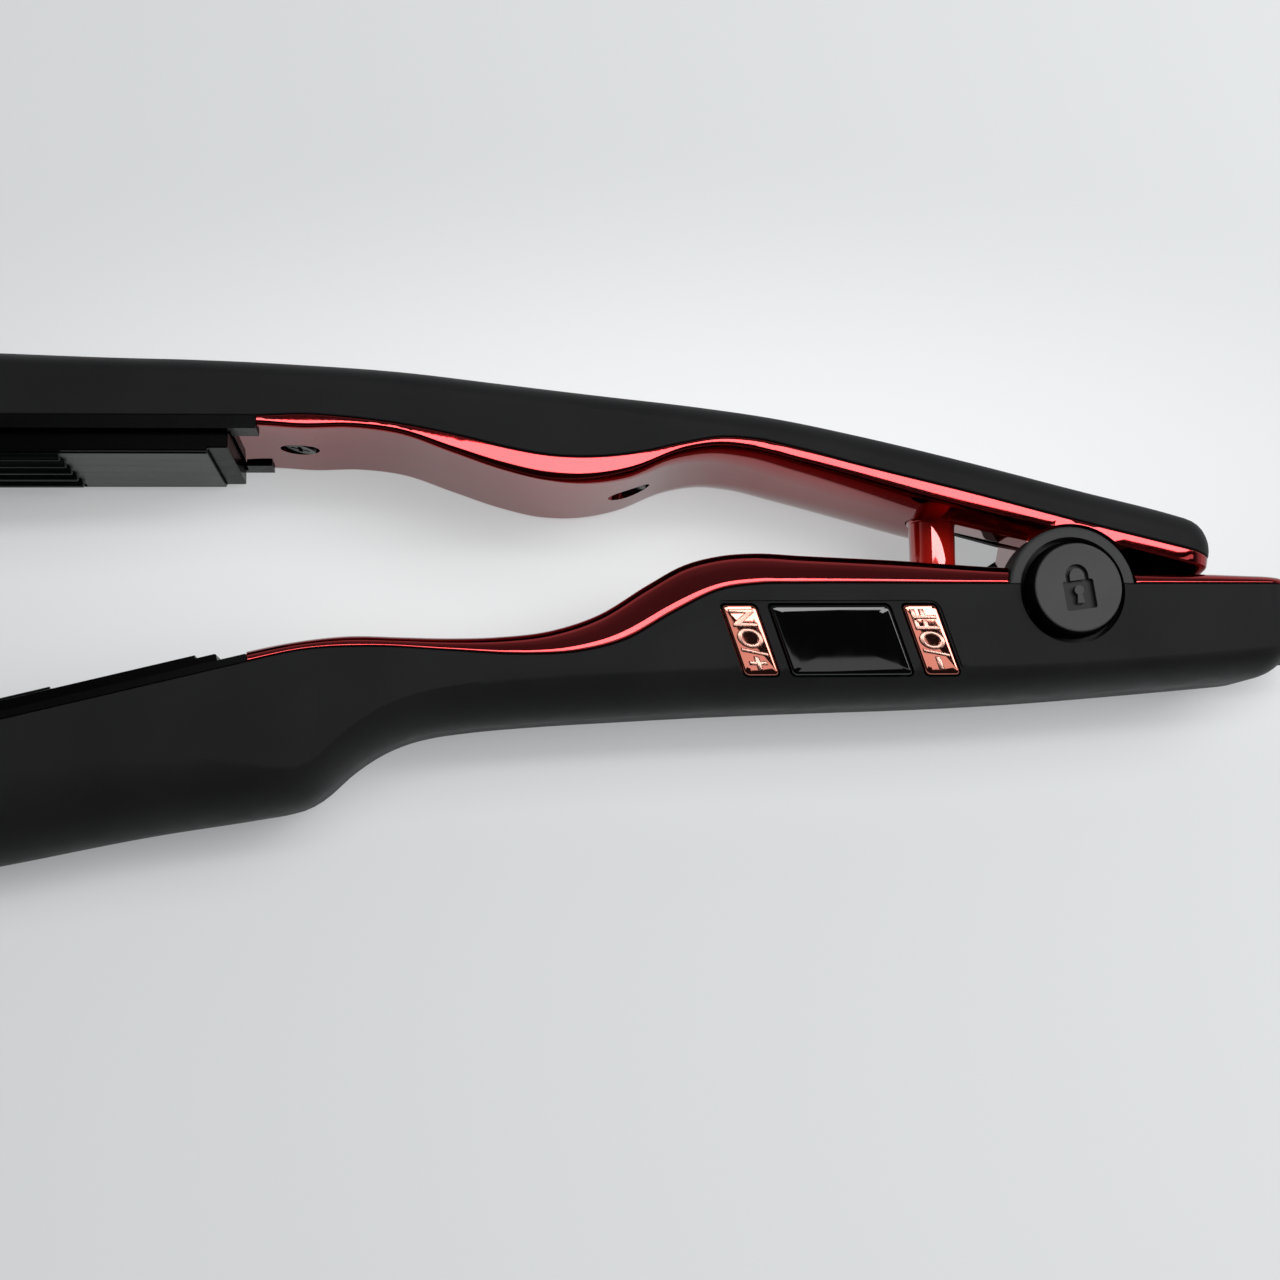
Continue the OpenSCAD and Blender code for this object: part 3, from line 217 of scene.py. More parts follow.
def quarter(i, n, start=0):
    """The i-th of n steps through a quarter turn from start, which is in degrees; the angle is in radians."""
    return math.radians(start + 90 * i / n)


def to_row(points, arm="low"):
    """Design millimetres to row metres; the upper arm's are drawn closed and turn open."""
    p = np.asarray(points, float)
    if arm == "up":
        c, s = math.cos(-OPEN), math.sin(-OPEN)
        p = np.stack([p[:, 0] * c - p[:, 1] * s, p[:, 0] * s + p[:, 1] * c, p[:, 2]], 1)
    return p * MM + AXIS


def mesh_object(name, points, faces, arm="low"):
    me = bpy.data.meshes.new(name)
    me.from_pydata([tuple(v) for v in to_row(points, arm)], [], faces)
    me.validate()
    bm = bmesh.new()
    bm.from_mesh(me)
    bmesh.ops.recalc_face_normals(bm, faces=bm.faces)
    bm.to_mesh(me)
    bm.free()
    o = bpy.data.objects.new(name, me)
    bpy.context.scene.collection.objects.link(o)
    return o


def ring(x, y0, y1, inset, ry, rz=None, r0=0.0, crease=0.0, n=12, n0=4):
    """Cross-section at x between y0 and y1. Its corners at y1 are quarter ellipses of ry by rz, which may
    leave the flat side at an angle (crease, in degrees); those at y0 are quarter circles of r0."""
    s = 1.0 if y1 > y0 else -1.0
    depth = abs(y1 - y0)
    q0 = min(r0, SEAM_SHARE * depth)
    qy = min(ry, DEPTH_SHARE * depth - q0)
    lo, hi = inset, ARM_W - inset
    qz = min(rz or qy, WIDTH_SHARE * (hi - lo))
    t0 = math.radians(crease)
    out = [(y0, hi)]
    if q0 > 0:
        turns = [math.pi / 2 * i / n0 for i in range(n0 + 1)]
        out = [(y0 + s * q0 * (1 - math.cos(t)), hi - q0 * (1 - math.sin(t))) for t in turns]
    for i in range(n + 1):
        t = t0 + (math.pi / 2 - t0) * i / n
        out.append((y1 - s * qy * (1 - math.sin(t)) / (1 - math.sin(t0)),
                    hi - qz * (math.cos(t0) - math.cos(t)) / math.cos(t0)))
    back = [(y, lo + hi - z) for y, z in reversed(out)]
    return [(x - (y - y0) * lean(x), y, z) for y, z in out + back]


def loft(name, rings, arm="low"):
    n, m = len(rings[0]), len(rings)
    pts = [p for r in rings for p in r]
    faces = [(k * n + i, k * n + (i + 1) % n, (k + 1) * n + (i + 1) % n, (k + 1) * n + i)
             for k in range(m - 1) for i in range(n)]
    faces += [tuple(range(n))[::-1], tuple((m - 1) * n + i for i in range(n))]
    return mesh_object(name, pts, faces, arm)


def places(tip, rear, a, b, step=1.5):
    """Places of the cross-sections from a to b, closer together in the rounded ends of the arm."""
    between = rear - REAR_ROUND - tip - TIP_ROUND
    n = int(between / step)
    xs = [tip + TIP_ROUND * (1 - math.cos(quarter(i, 10))) for i in range(11)]
    xs += [tip + TIP_ROUND + between * i / n for i in range(1, n + 1)]
    xs += [rear - REAR_ROUND * (1 - math.sin(quarter(i, 8))) for i in range(1, 9)]
    return [a] + [x for x in xs if a + 0.2 < x < b - 0.2] + [b]


def lathe(name, profile, centre=(0, 0, 0), axis="z", n=96, arm="low"):
    """profile: (radius, height) pairs, closed on the axis at both ends or a closed loop off it."""
    closed = profile[0][0] > 1e-6
    pts, idx = [], []
    for r, h in profile:
        row = []
        for k in range(n if r > 1e-6 else 1):
            a = 2 * math.pi * k / n
            c, s = r * math.cos(a), r * math.sin(a)
            p = {"z": (c, s, h), "y": (s, h, c), "x": (h, c, s)}[axis]
            row.append(len(pts))
            pts.append(tuple(np.array(centre) + p))
        idx.append(row)
    faces = []
    pairs = list(zip(idx, idx[1:])) + ([(idx[-1], idx[0])] if closed else [])
    for a, b in pairs:
        for k in range(n):
            j = (k + 1) % n
            if len(a) == 1:
                faces.append((a[0], b[j], b[k]))
            elif len(b) == 1:
                faces.append((a[k], a[j], b[0]))
            else:
                faces.append((a[k], a[j], b[j], b[k]))
    return mesh_object(name, pts, faces, arm)


def rod(r, a, b, centre=(0, 0, 0), axis="z", n=96, arm="low"):
    """A plain cylinder from a to b, for cutting or adding."""
    return lathe("cutter", [(0, a), (r, a), (r, b), (0, b)], centre, axis, n, arm)


def fillet(r, h, f, n=5, base=0.0):
    """Profile of a disc of radius r from base to h with its edges rounded by f."""
    turns = [quarter(i, n) for i in range(n + 1)]
    pts = [(0, base)]
    pts += [(r - f + f * math.sin(t), base + f - f * math.cos(t)) for t in turns]
    pts += [(r - f + f * math.cos(t), h - f + f * math.sin(t)) for t in turns]
    return pts + [(0, h)]


def rounded_rectangle(half_x, half_y, r, n, at=(0, 0)):
    """Outline about a point, with n steps in each corner."""
    out = []
    for cx, cy, start in ((1, 1, 0), (-1, 1, 90), (-1, -1, 180), (1, -1, 270)):
        for k in range(n + 1):
            t = quarter(k, n, start)
            out.append((at[0] + cx * (half_x - r) + r * math.cos(t),
                        at[1] + cy * (half_y - r) + r * math.sin(t)))
    return out


def box(a, b, arm="low"):
    (x0, y0, z0), (x1, y1, z1) = a, b
    p = [(x, y, z) for x in (x0, x1) for y in (y0, y1) for z in (z0, z1)]
    return mesh_object("cutter", p, BOX_FACES, arm)


def prism(outline, z0, z1, arm="low"):
    n = len(outline)
    p = [(x, y, z) for z in (z0, z1) for x, y in outline]
    faces = [tuple(range(n))[::-1], tuple(range(n, 2 * n))]
    faces += [(i, (i + 1) % n, n + (i + 1) % n, n + i) for i in range(n)]
    return mesh_object("cutter", p, faces, arm)


def in_head(u, h, z, side):
    """A point of a head's own frame (u along the plates, h behind the meeting plane) in design axes."""
    v = PLATE_OFF + side * h
    return (u * math.cos(TILT) - v * math.sin(TILT), u * math.sin(TILT) + v * math.cos(TILT), z)


def head_box(u0, u1, depth, z0, z1, side):
    p = [in_head(u, h, z, side) for u in (u0, u1) for h in (-depth, depth) for z in (z0, z1)]
    return mesh_object("cutter", p, BOX_FACES, arm_of(side))


def triangulate(o):
    bm = bmesh.new()
    bm.from_mesh(o.data)
    bmesh.ops.remove_doubles(bm, verts=bm.verts, dist=0.0002 * MM)
    bmesh.ops.triangulate(bm, faces=bm.faces)
    bm.to_mesh(o.data)
    bm.free()


def combine(o, others, how="DIFFERENCE"):
    """Boolean of o with others, applied; the others are used up."""
    for c in others:
        triangulate(o)
        triangulate(c)
        m = o.modifiers.new("cut", "BOOLEAN")
        m.object, m.operation, m.solver = c, how, "EXACT"
        bpy.context.view_layer.update()
        me = bpy.data.meshes.new_from_object(o.evaluated_get(bpy.context.evaluated_depsgraph_get()))
        o.modifiers.clear()
        old, o.data = o.data, me
        bpy.data.meshes.remove(old)
        bpy.data.objects.remove(c)
    return o


def soften(o, width=0.0, angle=30.0, segments=2):
    """Merges doubles, bevels the edges sharper than angle, and shades smooth between sharp edges."""
    bm = bmesh.new()
    bm.from_mesh(o.data)
    bmesh.ops.remove_doubles(bm, verts=bm.verts, dist=MERGE * MM)
    if width > 0:
        bmesh.ops.dissolve_limit(bm, angle_limit=math.radians(1.0), verts=bm.verts, edges=bm.edges)
        sharp = [e for e in bm.edges if len(e.link_faces) == 2 and e.calc_face_angle(0) > math.radians(angle)]
        bmesh.ops.bevel(bm, geom=sharp, offset=width * MM, segments=segments, profile=0.5, affect="EDGES",
                        clamp_overlap=True)
    bm.to_mesh(o.data)
    bm.free()
    o.data.shade_smooth()
    o.data.set_sharp_from_angle(angle=math.radians(angle))
    return o


def finish(o, look, body, *nodes, flat=True):
    """Gives a piece its material with the record's slot of that name, puts it on its body and hides the CAD
    nodes it stands for.
    Unless flat is off, its smooth shading leaves the large faces flat."""
    if flat:
        o.modifiers.new("flat_faces", "WEIGHTED_NORMAL").keep_sharp = True
    o.data.materials.clear()
    o.data.materials.append(look)
    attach(o, body)
    if nodes:
        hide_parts(*nodes)
    return o


# ------------------------------------------------------------------ materials
INPUTS = {"metal": "Metallic", "rough": "Roughness", "spec": "Specular IOR Level", "tint": "Specular Tint",
          "coat": "Coat Weight", "coat_rough": "Coat Roughness", "coat_ior": "Coat IOR"}
# Spots to a metre of the noises for colour, gloss, streaks and waves
PLASTIC_CLOUDS, PLASTIC_GLOSS = 60.0, 240.0
METAL_CLOUDS, METAL_GLOSS, METAL_STREAKS, METAL_WAVES = 45.0, 400.0, 900.0, 38.0


def material(name):
    m = bpy.data.materials.new(name)
    m["slot"] = name
    m.use_nodes = True
    return m, m.node_tree, m.node_tree.nodes["Principled BSDF"]


def put(bsdf, **values):
    for k, v in values.items():
        bsdf.inputs[INPUTS[k]].default_value = (*v, 1.0) if isinstance(v, tuple) else v


def noise(nt, scale, detail=4.0, rough=0.5, stretch_by=None):
    """Noise in the object's own coordinates, in metres times scale."""
    tc = nt.nodes.new("ShaderNodeTexCoord")
    src = tc.outputs["Object"]
    if stretch_by:
        mp = nt.nodes.new("ShaderNodeMapping")
        mp.inputs["Scale"].default_value = stretch_by
        nt.links.new(src, mp.inputs["Vector"])
        src = mp.outputs["Vector"]
    t = nt.nodes.new("ShaderNodeTexNoise")
    t.inputs["Scale"].default_value = scale
    t.inputs["Detail"].default_value = detail
    t.inputs["Roughness"].default_value = rough
    nt.links.new(src, t.inputs["Vector"])
    return t.outputs["Fac"]


def ramp(nt, fac, stops):
    r = nt.nodes.new("ShaderNodeValToRGB")
    while len(r.color_ramp.elements) < len(stops):
        r.color_ramp.elements.new(0.5)
    for e, (at, col) in zip(r.color_ramp.elements, stops):
        e.position = at
        e.color = (*col, 1.0) if isinstance(col, tuple) else (col, col, col, 1.0)
    nt.links.new(fac, r.inputs["Fac"])
    return r.outputs["Color"]


def bump(nt, fac, bsdf, strength, distance):
    b = nt.nodes.new("ShaderNodeBump")
    b.inputs["Strength"].default_value = strength
    b.inputs["Distance"].default_value = distance
    nt.links.new(fac, b.inputs["Height"])
    nt.links.new(b.outputs["Normal"], bsdf.inputs["Normal"])


def plastic(name, dark, light, rough=(0.45, 0.55), grain=9000.0, depth=0.00002, strength=0.25, **more):
    """Moulded or coated plastic: fine grain, slight clouding of colour and of gloss."""
    m, nt, b = material(name)
    colour = ramp(nt, noise(nt, PLASTIC_CLOUDS, 3.0), [(0.3, dark), (0.7, light)])
    nt.links.new(colour, b.inputs["Base Color"])
    gloss = ramp(nt, noise(nt, PLASTIC_GLOSS, 4.0), [(0.3, rough[0]), (0.75, rough[1])])
    nt.links.new(gloss, b.inputs["Roughness"])
    bump(nt, noise(nt, grain, 2.0), b, strength, depth)
    put(b, **more)
    return m


def metal(name, dark, light, rough=(0.06, 0.11), streak=None, depth=0.000004, strength=0.1, wave=0.0, **more):
    """Polished or plated metal: faint clouding, streaks if asked, and slow waves of the given height."""
    m, nt, b = material(name)
    put(b, metal=1.0)
    colour = ramp(nt, noise(nt, METAL_CLOUDS, 2.0), [(0.35, dark), (0.65, light)])
    nt.links.new(colour, b.inputs["Base Color"])
    gloss = ramp(nt, noise(nt, METAL_GLOSS, 5.0, 0.6, streak), [(0.3, rough[0]), (0.8, rough[1])])
    nt.links.new(gloss, b.inputs["Roughness"])
    bump(nt, noise(nt, METAL_STREAKS, 3.0, 0.5, streak), b, strength, depth)
    if wave:
        first = b.inputs["Normal"].links[0].from_node
        bump(nt, noise(nt, METAL_WAVES, 1.0), b, 1.0, wave)
        nt.links.new(b.inputs["Normal"].links[0].from_socket, first.inputs["Normal"])
        nt.links.new(first.outputs["Normal"], b.inputs["Normal"])
    put(b, **more)
    return m


ALONG_PLATE, ALONG_SLEEVE = (0.06, 1.0, 1.0), (0.1, 1.0, 1.0)   # how the streaks are stretched

SHELL = plastic("shell_black", (0.0122, 0.0123, 0.013), (0.0156, 0.0157, 0.0165), (0.46, 0.54), spec=0.07)
HINGE_BLACK = plastic("hinge_black", (0.038, 0.0382, 0.039), (0.046, 0.0462, 0.047), (0.5, 0.6),
                      grain=7000.0, depth=0.00004, strength=0.35, spec=0.2)
LOCK_BLACK = plastic("lock_black", (0.054, 0.053, 0.053), (0.064, 0.063, 0.063), (0.5, 0.6),
                     grain=6000.0, depth=0.00005, strength=0.4, spec=0.2)
# A darker copy of the lock's black for the sunken sign's floor: painted shade in the recess.
LOCK_SIGN_SHADE = plastic("lock_black", (0.027, 0.0265, 0.0265), (0.034, 0.0335, 0.0335), (0.5, 0.6),
                    grain=6000.0, depth=0.00005, strength=0.4, spec=0.2)
FRAME_BLACK = plastic("frame_black", (0.002, 0.0021, 0.0024), (0.003, 0.0031, 0.0035), (0.24, 0.32),
                      grain=5000.0, strength=0.1, spec=0.04)
CARRIER_BLACK = plastic("carrier_black", (0.0012, 0.0012, 0.0013), (0.002, 0.002, 0.0022), (0.22, 0.3),
                        grain=5000.0, strength=0.1, spec=0.02)
GLAND = plastic("gland_rubber", (0.010, 0.010, 0.011), (0.015, 0.015, 0.016), (0.5, 0.62),
                grain=5000.0, strength=0.3, spec=0.3)
RED = metal("chrome_red", (0.30, 0.010, 0.012), (0.34, 0.013, 0.016), (0.03, 0.06),
            coat=0.6, coat_rough=0.02, tint=(0.5, 0.44, 0.44), wave=0.00005)
POST_RED = metal("post_red", (0.52, 0.010, 0.005), (0.60, 0.014, 0.008), (0.04, 0.07),
                 coat=1.0, coat_rough=0.02, coat_ior=1.6, metal=0.4)
ROSE = metal("key_rose", (0.52, 0.17, 0.125), (0.60, 0.20, 0.15), (0.02, 0.045))
ROSE_SATIN = metal("key_rose", (0.64, 0.33, 0.26), (0.72, 0.38, 0.31), (0.24, 0.32))
WINDOW = plastic("window_black", (0.0005, 0.0005, 0.0006), (0.001, 0.001, 0.0011), (0.02, 0.04),
                 grain=300.0, strength=0.02, spec=0.5)
CERAMIC = metal("plate_ceramic", (0.042, 0.047, 0.044), (0.062, 0.068, 0.064), (0.24, 0.36), ALONG_PLATE,
                tint=(0.66, 0.67, 0.66))
STEEL = metal("steel", (0.42, 0.43, 0.45), (0.55, 0.56, 0.58), (0.22, 0.34), ALONG_SLEEVE)
SWITCH = metal("switch_steel", (0.45, 0.46, 0.48), (0.58, 0.59, 0.61), (0.2, 0.3))
# The cover screws are near black, far darker than their steel: painted shade of the deep screw holes.
SCREW_IN_SHADE = metal("screw_steel", (0.009, 0.008, 0.008), (0.018, 0.016, 0.016), (0.3, 0.45))
SPRING = metal("spring_steel", (0.5, 0.51, 0.54), (0.62, 0.63, 0.66), (0.12, 0.22))
BRASS = metal("brass", (0.55, 0.40, 0.16), (0.65, 0.48, 0.20), (0.2, 0.32))
HEATER = plastic("heater_ceramic", (0.60, 0.59, 0.55), (0.68, 0.67, 0.63), (0.4, 0.55))
DISPLAY = plastic("display_white", (0.62, 0.62, 0.6), (0.7, 0.7, 0.68), (0.35, 0.5))
TERMINAL = plastic("terminal_white", (0.58, 0.58, 0.55), (0.66, 0.66, 0.63), (0.35, 0.5))
LEAD = plastic("lead_white", (0.6, 0.59, 0.56), (0.7, 0.69, 0.66), (0.4, 0.5), grain=3000.0)
MICA = plastic("mica", (0.26, 0.21, 0.12), (0.34, 0.28, 0.17), (0.2, 0.4), grain=2000.0)
SILICONE = plastic("silicone", (0.18, 0.035, 0.025), (0.24, 0.05, 0.035), (0.4, 0.5))
BOARD = plastic("board_green", (0.008, 0.05, 0.022), (0.012, 0.07, 0.03), (0.25, 0.4), grain=1500.0)


# ------------------------------------------------------------------ control panel's cells
PANEL_AT, PANEL_LEAN = (-40, -8.3), math.radians(18)   # middle of the panel, and how far its short edges lean
PANEL_LENGTH, PANEL_FLOOR = 36.4, 31.65
WINDOW_LENGTH, KEY_LENGTH, KEY_AT = 20.4, 5.8, 15.3    # the keys stand on both sides of the window
CELL_HALF, CELL_CORNER = 5.9, 0.8
WINDOW_OPEN = 29                                       # the cells' openings go from here through the face


def cell_outline(x, length, grow, corner=CELL_CORNER):
    """Outline of a leaning rounded cell of the control panel."""
    outline = rounded_rectangle(length / 2 + grow, CELL_HALF + grow, max(0.2, corner + grow / 2), 6)
    shift = math.tan(PANEL_LEAN)
    return [(PANEL_AT[0] + x + px - shift * py, PANEL_AT[1] + py) for px, py in outline]


def cell(x, length, grow, z0, z1, corner=CELL_CORNER):
    return prism(cell_outline(x, length, grow, corner), z0, z1)


def domed_cell(name, x, length, z0, z1, edge, crown):
    """A cell whose top is crowned and whose rim is rounded by edge."""
    rims = [(0.0, z0), (0.0, z1 - crown - edge)]
    turns = [quarter(k, 5) for k in range(1, 6)]
    rims += [(edge * (1 - math.cos(t)), z1 - crown - edge * (1 - math.sin(t))) for t in turns]
    rows = [[(px, py, z) for px, py in cell_outline(x, length, -e)] for e, z in rims]
    rim = rows[-1]
    for f in (0.85, 0.7, 0.55, 0.4, 0.25, 0.1):
        rows.append([(PANEL_AT[0] + x + f * (px - PANEL_AT[0] - x), PANEL_AT[1] + f * (py - PANEL_AT[1]),
                      z1 - crown * f * f) for px, py, _ in rim])
    return loft(name, rows)


# ------------------------------------------------------------------ shells
WALL, COVER_WALL = 1.8, 1.6
LOW_REAR_WALL, UP_REAR_WALL = 3.0, 3.6    # the shells' walls at the arms' rear ends
WELL_R, SLEEVE_R = 9.1, 4.5               # the lock's wells and the hinge sleeve, about the hinge axis
GLAND_HOLE, GLAND_Y = 4.46, -5.4
SHELL_FOOT = 0.3                          # rounding of the shells' edges at the seam


def lower_shell():
    o = loft("shell_low", [ring(x, curve(low_seam, x), low_back_y(x),
                                corner_inset(x - LOW_TIP, TIP_ROUND) + corner_inset(REAR - x, REAR_ROUND),
                                curve(low_edge_y, x), curve(low_edge_z, x), SHELL_FOOT,
                                max(0, curve(low_crease, x)), 16)
                           for x in places(LOW_TIP, REAR, LOW_TIP, REAR)])
    a, b = LOW_TIP + WALL, REAR - LOW_REAR_WALL
    cavity = loft("cutter", [ring(x, curve(low_seam, x) + 1, low_back_y(x) + WALL * stretch(low_back, x),
                                  WALL + corner_inset(x - a, TIP_ROUND - WALL)
                                  + corner_inset(b - x, REAR_ROUND - WALL),
                                  curve(low_edge_y, x) - WALL, curve(low_edge_z, x) - WALL, n=5)
                             for x in places(LOW_TIP, REAR, a, b, 4)])
    cuts = [cavity, rod(WELL_R, 6, 40), rod(WELL_R, -8, 26),
            cell(0, PANEL_LENGTH, 0.7, PANEL_FLOOR, 34, 1.2)]
    cuts += [cell(x, length, 0.3, WINDOW_OPEN, 34)
             for x, length in ((0, WINDOW_LENGTH), (-KEY_AT, KEY_LENGTH), (KEY_AT, KEY_LENGTH))]
    cuts.append(rod(GLAND_HOLE, 30, 60, (0, GLAND_Y, MIDDLE), "x"))
    return combine(o, cuts)


def upper_shell():
    o = loft("shell_up", [ring(x, curve(up_seam, x), up_back_y(x),
                               corner_inset(x - UP_TIP, TIP_ROUND) + corner_inset(TAIL - x, REAR_ROUND),
                               UP_EDGE_Y, curve(up_edge_z, x), SHELL_FOOT)
                          for x in places(UP_TIP, TAIL, UP_TIP, TAIL)], "up")
    a, b = UP_TIP + WALL, TAIL - UP_REAR_WALL
    cavity = loft("cutter", [ring(x, curve(up_seam, x) - 1, up_back_y(x) - WALL * stretch(up_back, x),
                                  WALL + corner_inset(x - a, TIP_ROUND - WALL),
                                  UP_EDGE_Y - WALL, curve(up_edge_z, x) - WALL, n=5)
                             for x in places(UP_TIP, TAIL, a, b, 4)], "up")
    return combine(o, [cavity])


# ------------------------------------------------------------------ covers
LOW_SCREWS, UP_SCREWS = (-131.5, -100), (-133.3, -76.3)   # places of the screws that hold the covers
LEDGE = 0.9                                               # the screw heads' seat, behind the seam
SCREW_HOLE, SHANK_HOLE, SCREW_CUP = 3.3, 1.55, 4.3        # the cup is the wall round the hole
POST_X = -19.8
POST_AT = (POST_X, 0, MIDDLE)
SLOT_R, SLOT_FRONT = 4.5, -22.0                           # the post passes the lower cover in this slot
PRONG_W = 5.4                                             # a prong of the plate frame, with the gap beside it
LOW_CHEEK_GAP, UP_CHEEK_GAP = 11.3, 11.4                  # radius of the covers' openings at the hinge


def holes(xs, seam, side):
    made = []
    for x in xs:
        y, at = curve(seam, x) - side * LEDGE, (x, 0, MIDDLE)
        made.append(rod(SCREW_HOLE, y, y - side * 40, at, "y", 48, arm_of(side)))
        made.append(rod(SHANK_HOLE, y - side * 2, y + side * 2, at, "y", 32, arm_of(side)))
    return made


def head_cuts(side):
    """Cutters for the cover's front end, which fits round the plate frame's rear end."""
    cuts = [head_box(CAP_U - 14, CAP_U + 0.4, 12, -1, ARM_W + 1, side)]
    for z0, z1 in ((-1, PRONG_W), (ARM_W - PRONG_W, ARM_W + 1)):
        cuts.append(head_box(CAP_U - 0.01, COVER_U + SEAM, 12, z0, z1, side))
    return cuts


def cover_solid(name, seam, face, side, a, b, rear, screws):
    """A hollow cover from a to b between the seam and the face, with cups round its screws."""
    arm = arm_of(side)
    tip = UP_TIP if side > 0 else LOW_TIP

    def edge(x):
        return (curve(up_cover_y, x), max(1.2, curve(up_cover_z, x)), 0.3) if side > 0 else LOW_COVER_EDGE

    outer = loft(name, [ring(x, curve(seam, x) - side * SEAM, curve(face, x),
                             corner_inset(rear - x, REAR_ROUND), *edge(x), n=14)
                        for x in places(tip, rear, a, b, 1.2)], arm)
    inner = loft("cutter", [ring(x, curve(seam, x) + side * 1,
                                 curve(face, x) + side * COVER_WALL * stretch(face, x), 1.9, 1.4, n=4)
                            for x in places(tip, rear, a - 1, b - 2, 3)], arm)
    cups = [rod(SCREW_CUP, curve(seam, x) + side * 2, curve(seam, x) - side * 30, (x, 0, MIDDLE), "y", 48,
                arm) for x in screws]
    return combine(outer, [combine(inner, cups)])


def lower_covers():
    main = cover_solid("cover_low", low_seam, low_face, -1, LOW_CX - 6, -1, REAR, LOW_SCREWS)
    slot = [rod(SLOT_R, -2, 30, (x, 0, MIDDLE), "y", 64) for x in (POST_X, SLOT_FRONT)]
    slot.append(box((SLOT_FRONT, -2, MIDDLE - SLOT_R), (POST_X, 30, MIDDLE + SLOT_R)))
    cuts = [rod(LOW_CHEEK_GAP, -5, 40, n=128)]
    combine(main, cuts + holes(LOW_SCREWS, low_seam, -1) + head_cuts(-1) + slot)
    tail = cover_solid("cover_low_tail", low_seam, low_face, -1, 1, REAR, REAR, ())
    combine(tail, [rod(LOW_CHEEK_GAP, -5, 40, n=128)])
    return main, tail


def upper_cover():
    main = cover_solid("cover_up", up_seam, up_face, 1, UP_CX - 6, TAIL, TAIL, UP_SCREWS)
    cuts = [rod(UP_CHEEK_GAP, -5, 40, n=128, arm="up"),
            box((-22.9, 0, COVER_WALL), (19, 32, ARM_W - COVER_WALL), "up"),
            box((-16.6, 0, -1), (-1.5, 12.6, COVER_WALL + 0.1), "up"),   # through the far wall
            rod(4.6, 0, 32, POST_AT, "y", 64)]
    return combine(main, cuts + holes(UP_SCREWS, up_seam, 1) + head_cuts(1))


finish(soften(lower_shell(), 0, 32), SHELL, "lower_arm", "lower_shell")
finish(soften(upper_shell(), 0, 32), SHELL, "upper_arm", "upper_shell")
main_cover, tail_cover = lower_covers()
finish(soften(main_cover, 0, 32), RED, "lower_arm", "lower_cover")
finish(soften(tail_cover, 0, 32), RED, "lower_arm", "lower_tail_cover")
finish(soften(upper_cover(), 0, 32), RED, "upper_arm", "upper_cover")


# ------------------------------------------------------------------ hinge, post and lock
TAB_IN, TAB_OUT, TAB_AT = 6.3, 7.7, 205   # the lock tab's radii and direction
TAB_HALF = 4.7                            # half its slot's angle
CHEEK_R, CHEEK_T, CHEEK_RIM = 11, 6, 0.7
CHEEK_FOOT = 1.2                          # the half-disc stands on the seam
CHEEK_RING = 9.9                          # radius of the ring inside the shell's wall
WELL_FLOOR = 4.3


def sector(r0, r1, a0, a1, z0, z1, arm="low"):
    """A cutter: part of a ring about the hinge axis, between two directions in degrees."""
    out = []
    for r, start, end in ((r0, a0, a1), (r1, a1, a0)):
        turns = [math.radians(start + (end - start) * k / 8) for k in range(9)]
        out += [(r * math.cos(t), r * math.sin(t)) for t in turns]
    return prism(out, z0, z1, arm)


def cheek(name, near):
    """Half-disc above the seam with a rounded rim, and a full ring inside the shell's wall."""
    def z(h):
        return ARM_W - h if near else h

    rim = [(CHEEK_R - CHEEK_RIM + CHEEK_RIM * math.sin(t), z(CHEEK_RIM - CHEEK_RIM * math.cos(t)))
           for t in (quarter(i, 6) for i in range(7))]
    disc = lathe(name, [(0, z(0))] + rim + [(CHEEK_R, z(CHEEK_T)), (0, z(CHEEK_T))], n=160)
    combine(disc, [box((-20, -20, -5), (20, CHEEK_FOOT, 40))])
    combine(disc, [rod(CHEEK_RING, z(WALL + SEAM), z(CHEEK_T), n=128)], "UNION")
    cuts = [rod(WELL_R, z(-1), z(WELL_FLOOR), n=128), rod(SLEEVE_R, -9, 50, n=64)]
    if near:
        cuts.append(sector(TAB_IN - 0.15, TAB_OUT + 0.15, TAB_AT - TAB_HALF, TAB_AT + TAB_HALF, 16, 40))
    return combine(disc, cuts)


finish(soften(cheek("cheek_near", True), 0, 32), HINGE_BLACK, "lower_arm", "near_hinge_cheek")
finish(soften(cheek("cheek_far", False), 0, 32), HINGE_BLACK, "lower_arm", "far_hinge_cheek")

LOCK_R, LOCK_T = 8.25, 4                  # the button on each side
FACE_R, FACE_TOP, FACE_UNDER = 7.5, 35, 34.4
NECK_R, NECK_FROM = 6.9, 33               # the face's neck inside its skirt
SIGN_FLOOR, SIGN_TURN = 34.0, math.radians(7.5)


def padlock(z0, z1):
    """Cutters for the sunken padlock sign, whose keyhole is left standing."""
    c, s = math.cos(SIGN_TURN), math.sin(SIGN_TURN)

    def turned(pts, low, high):
        return prism([(x * c - y * s, x * s + y * c) for x, y in pts], low, high)

    def arch(r, y0, y1):
        turns = [quarter(k, 12) for k in range(25)]
        return [(r, y0)] + [(r * math.cos(t), y1 + r * math.sin(t)) for t in turns] + [(-r, y0)]

    keyhole = [(0.8 * math.cos(math.radians(t)), -0.5 + 0.8 * math.sin(math.radians(t)))
               for t in range(-60, 241, 15)]
    keyhole += [(-0.62, -2.7), (0.62, -2.7)]
    body = combine(turned(rounded_rectangle(2.65, 2.5, 0.4, 4, (0, -1.3)), z0, z1),
                   [turned(keyhole, z0 - 1, z1 + 1)])
    bow = combine(turned(arch(1.98, 1.0, 1.95), z0 + 0.03, z1),
                  [turned(arch(1.25, 0.4, 1.95), z0 - 1, z1 + 1)])
    return [body, bow]


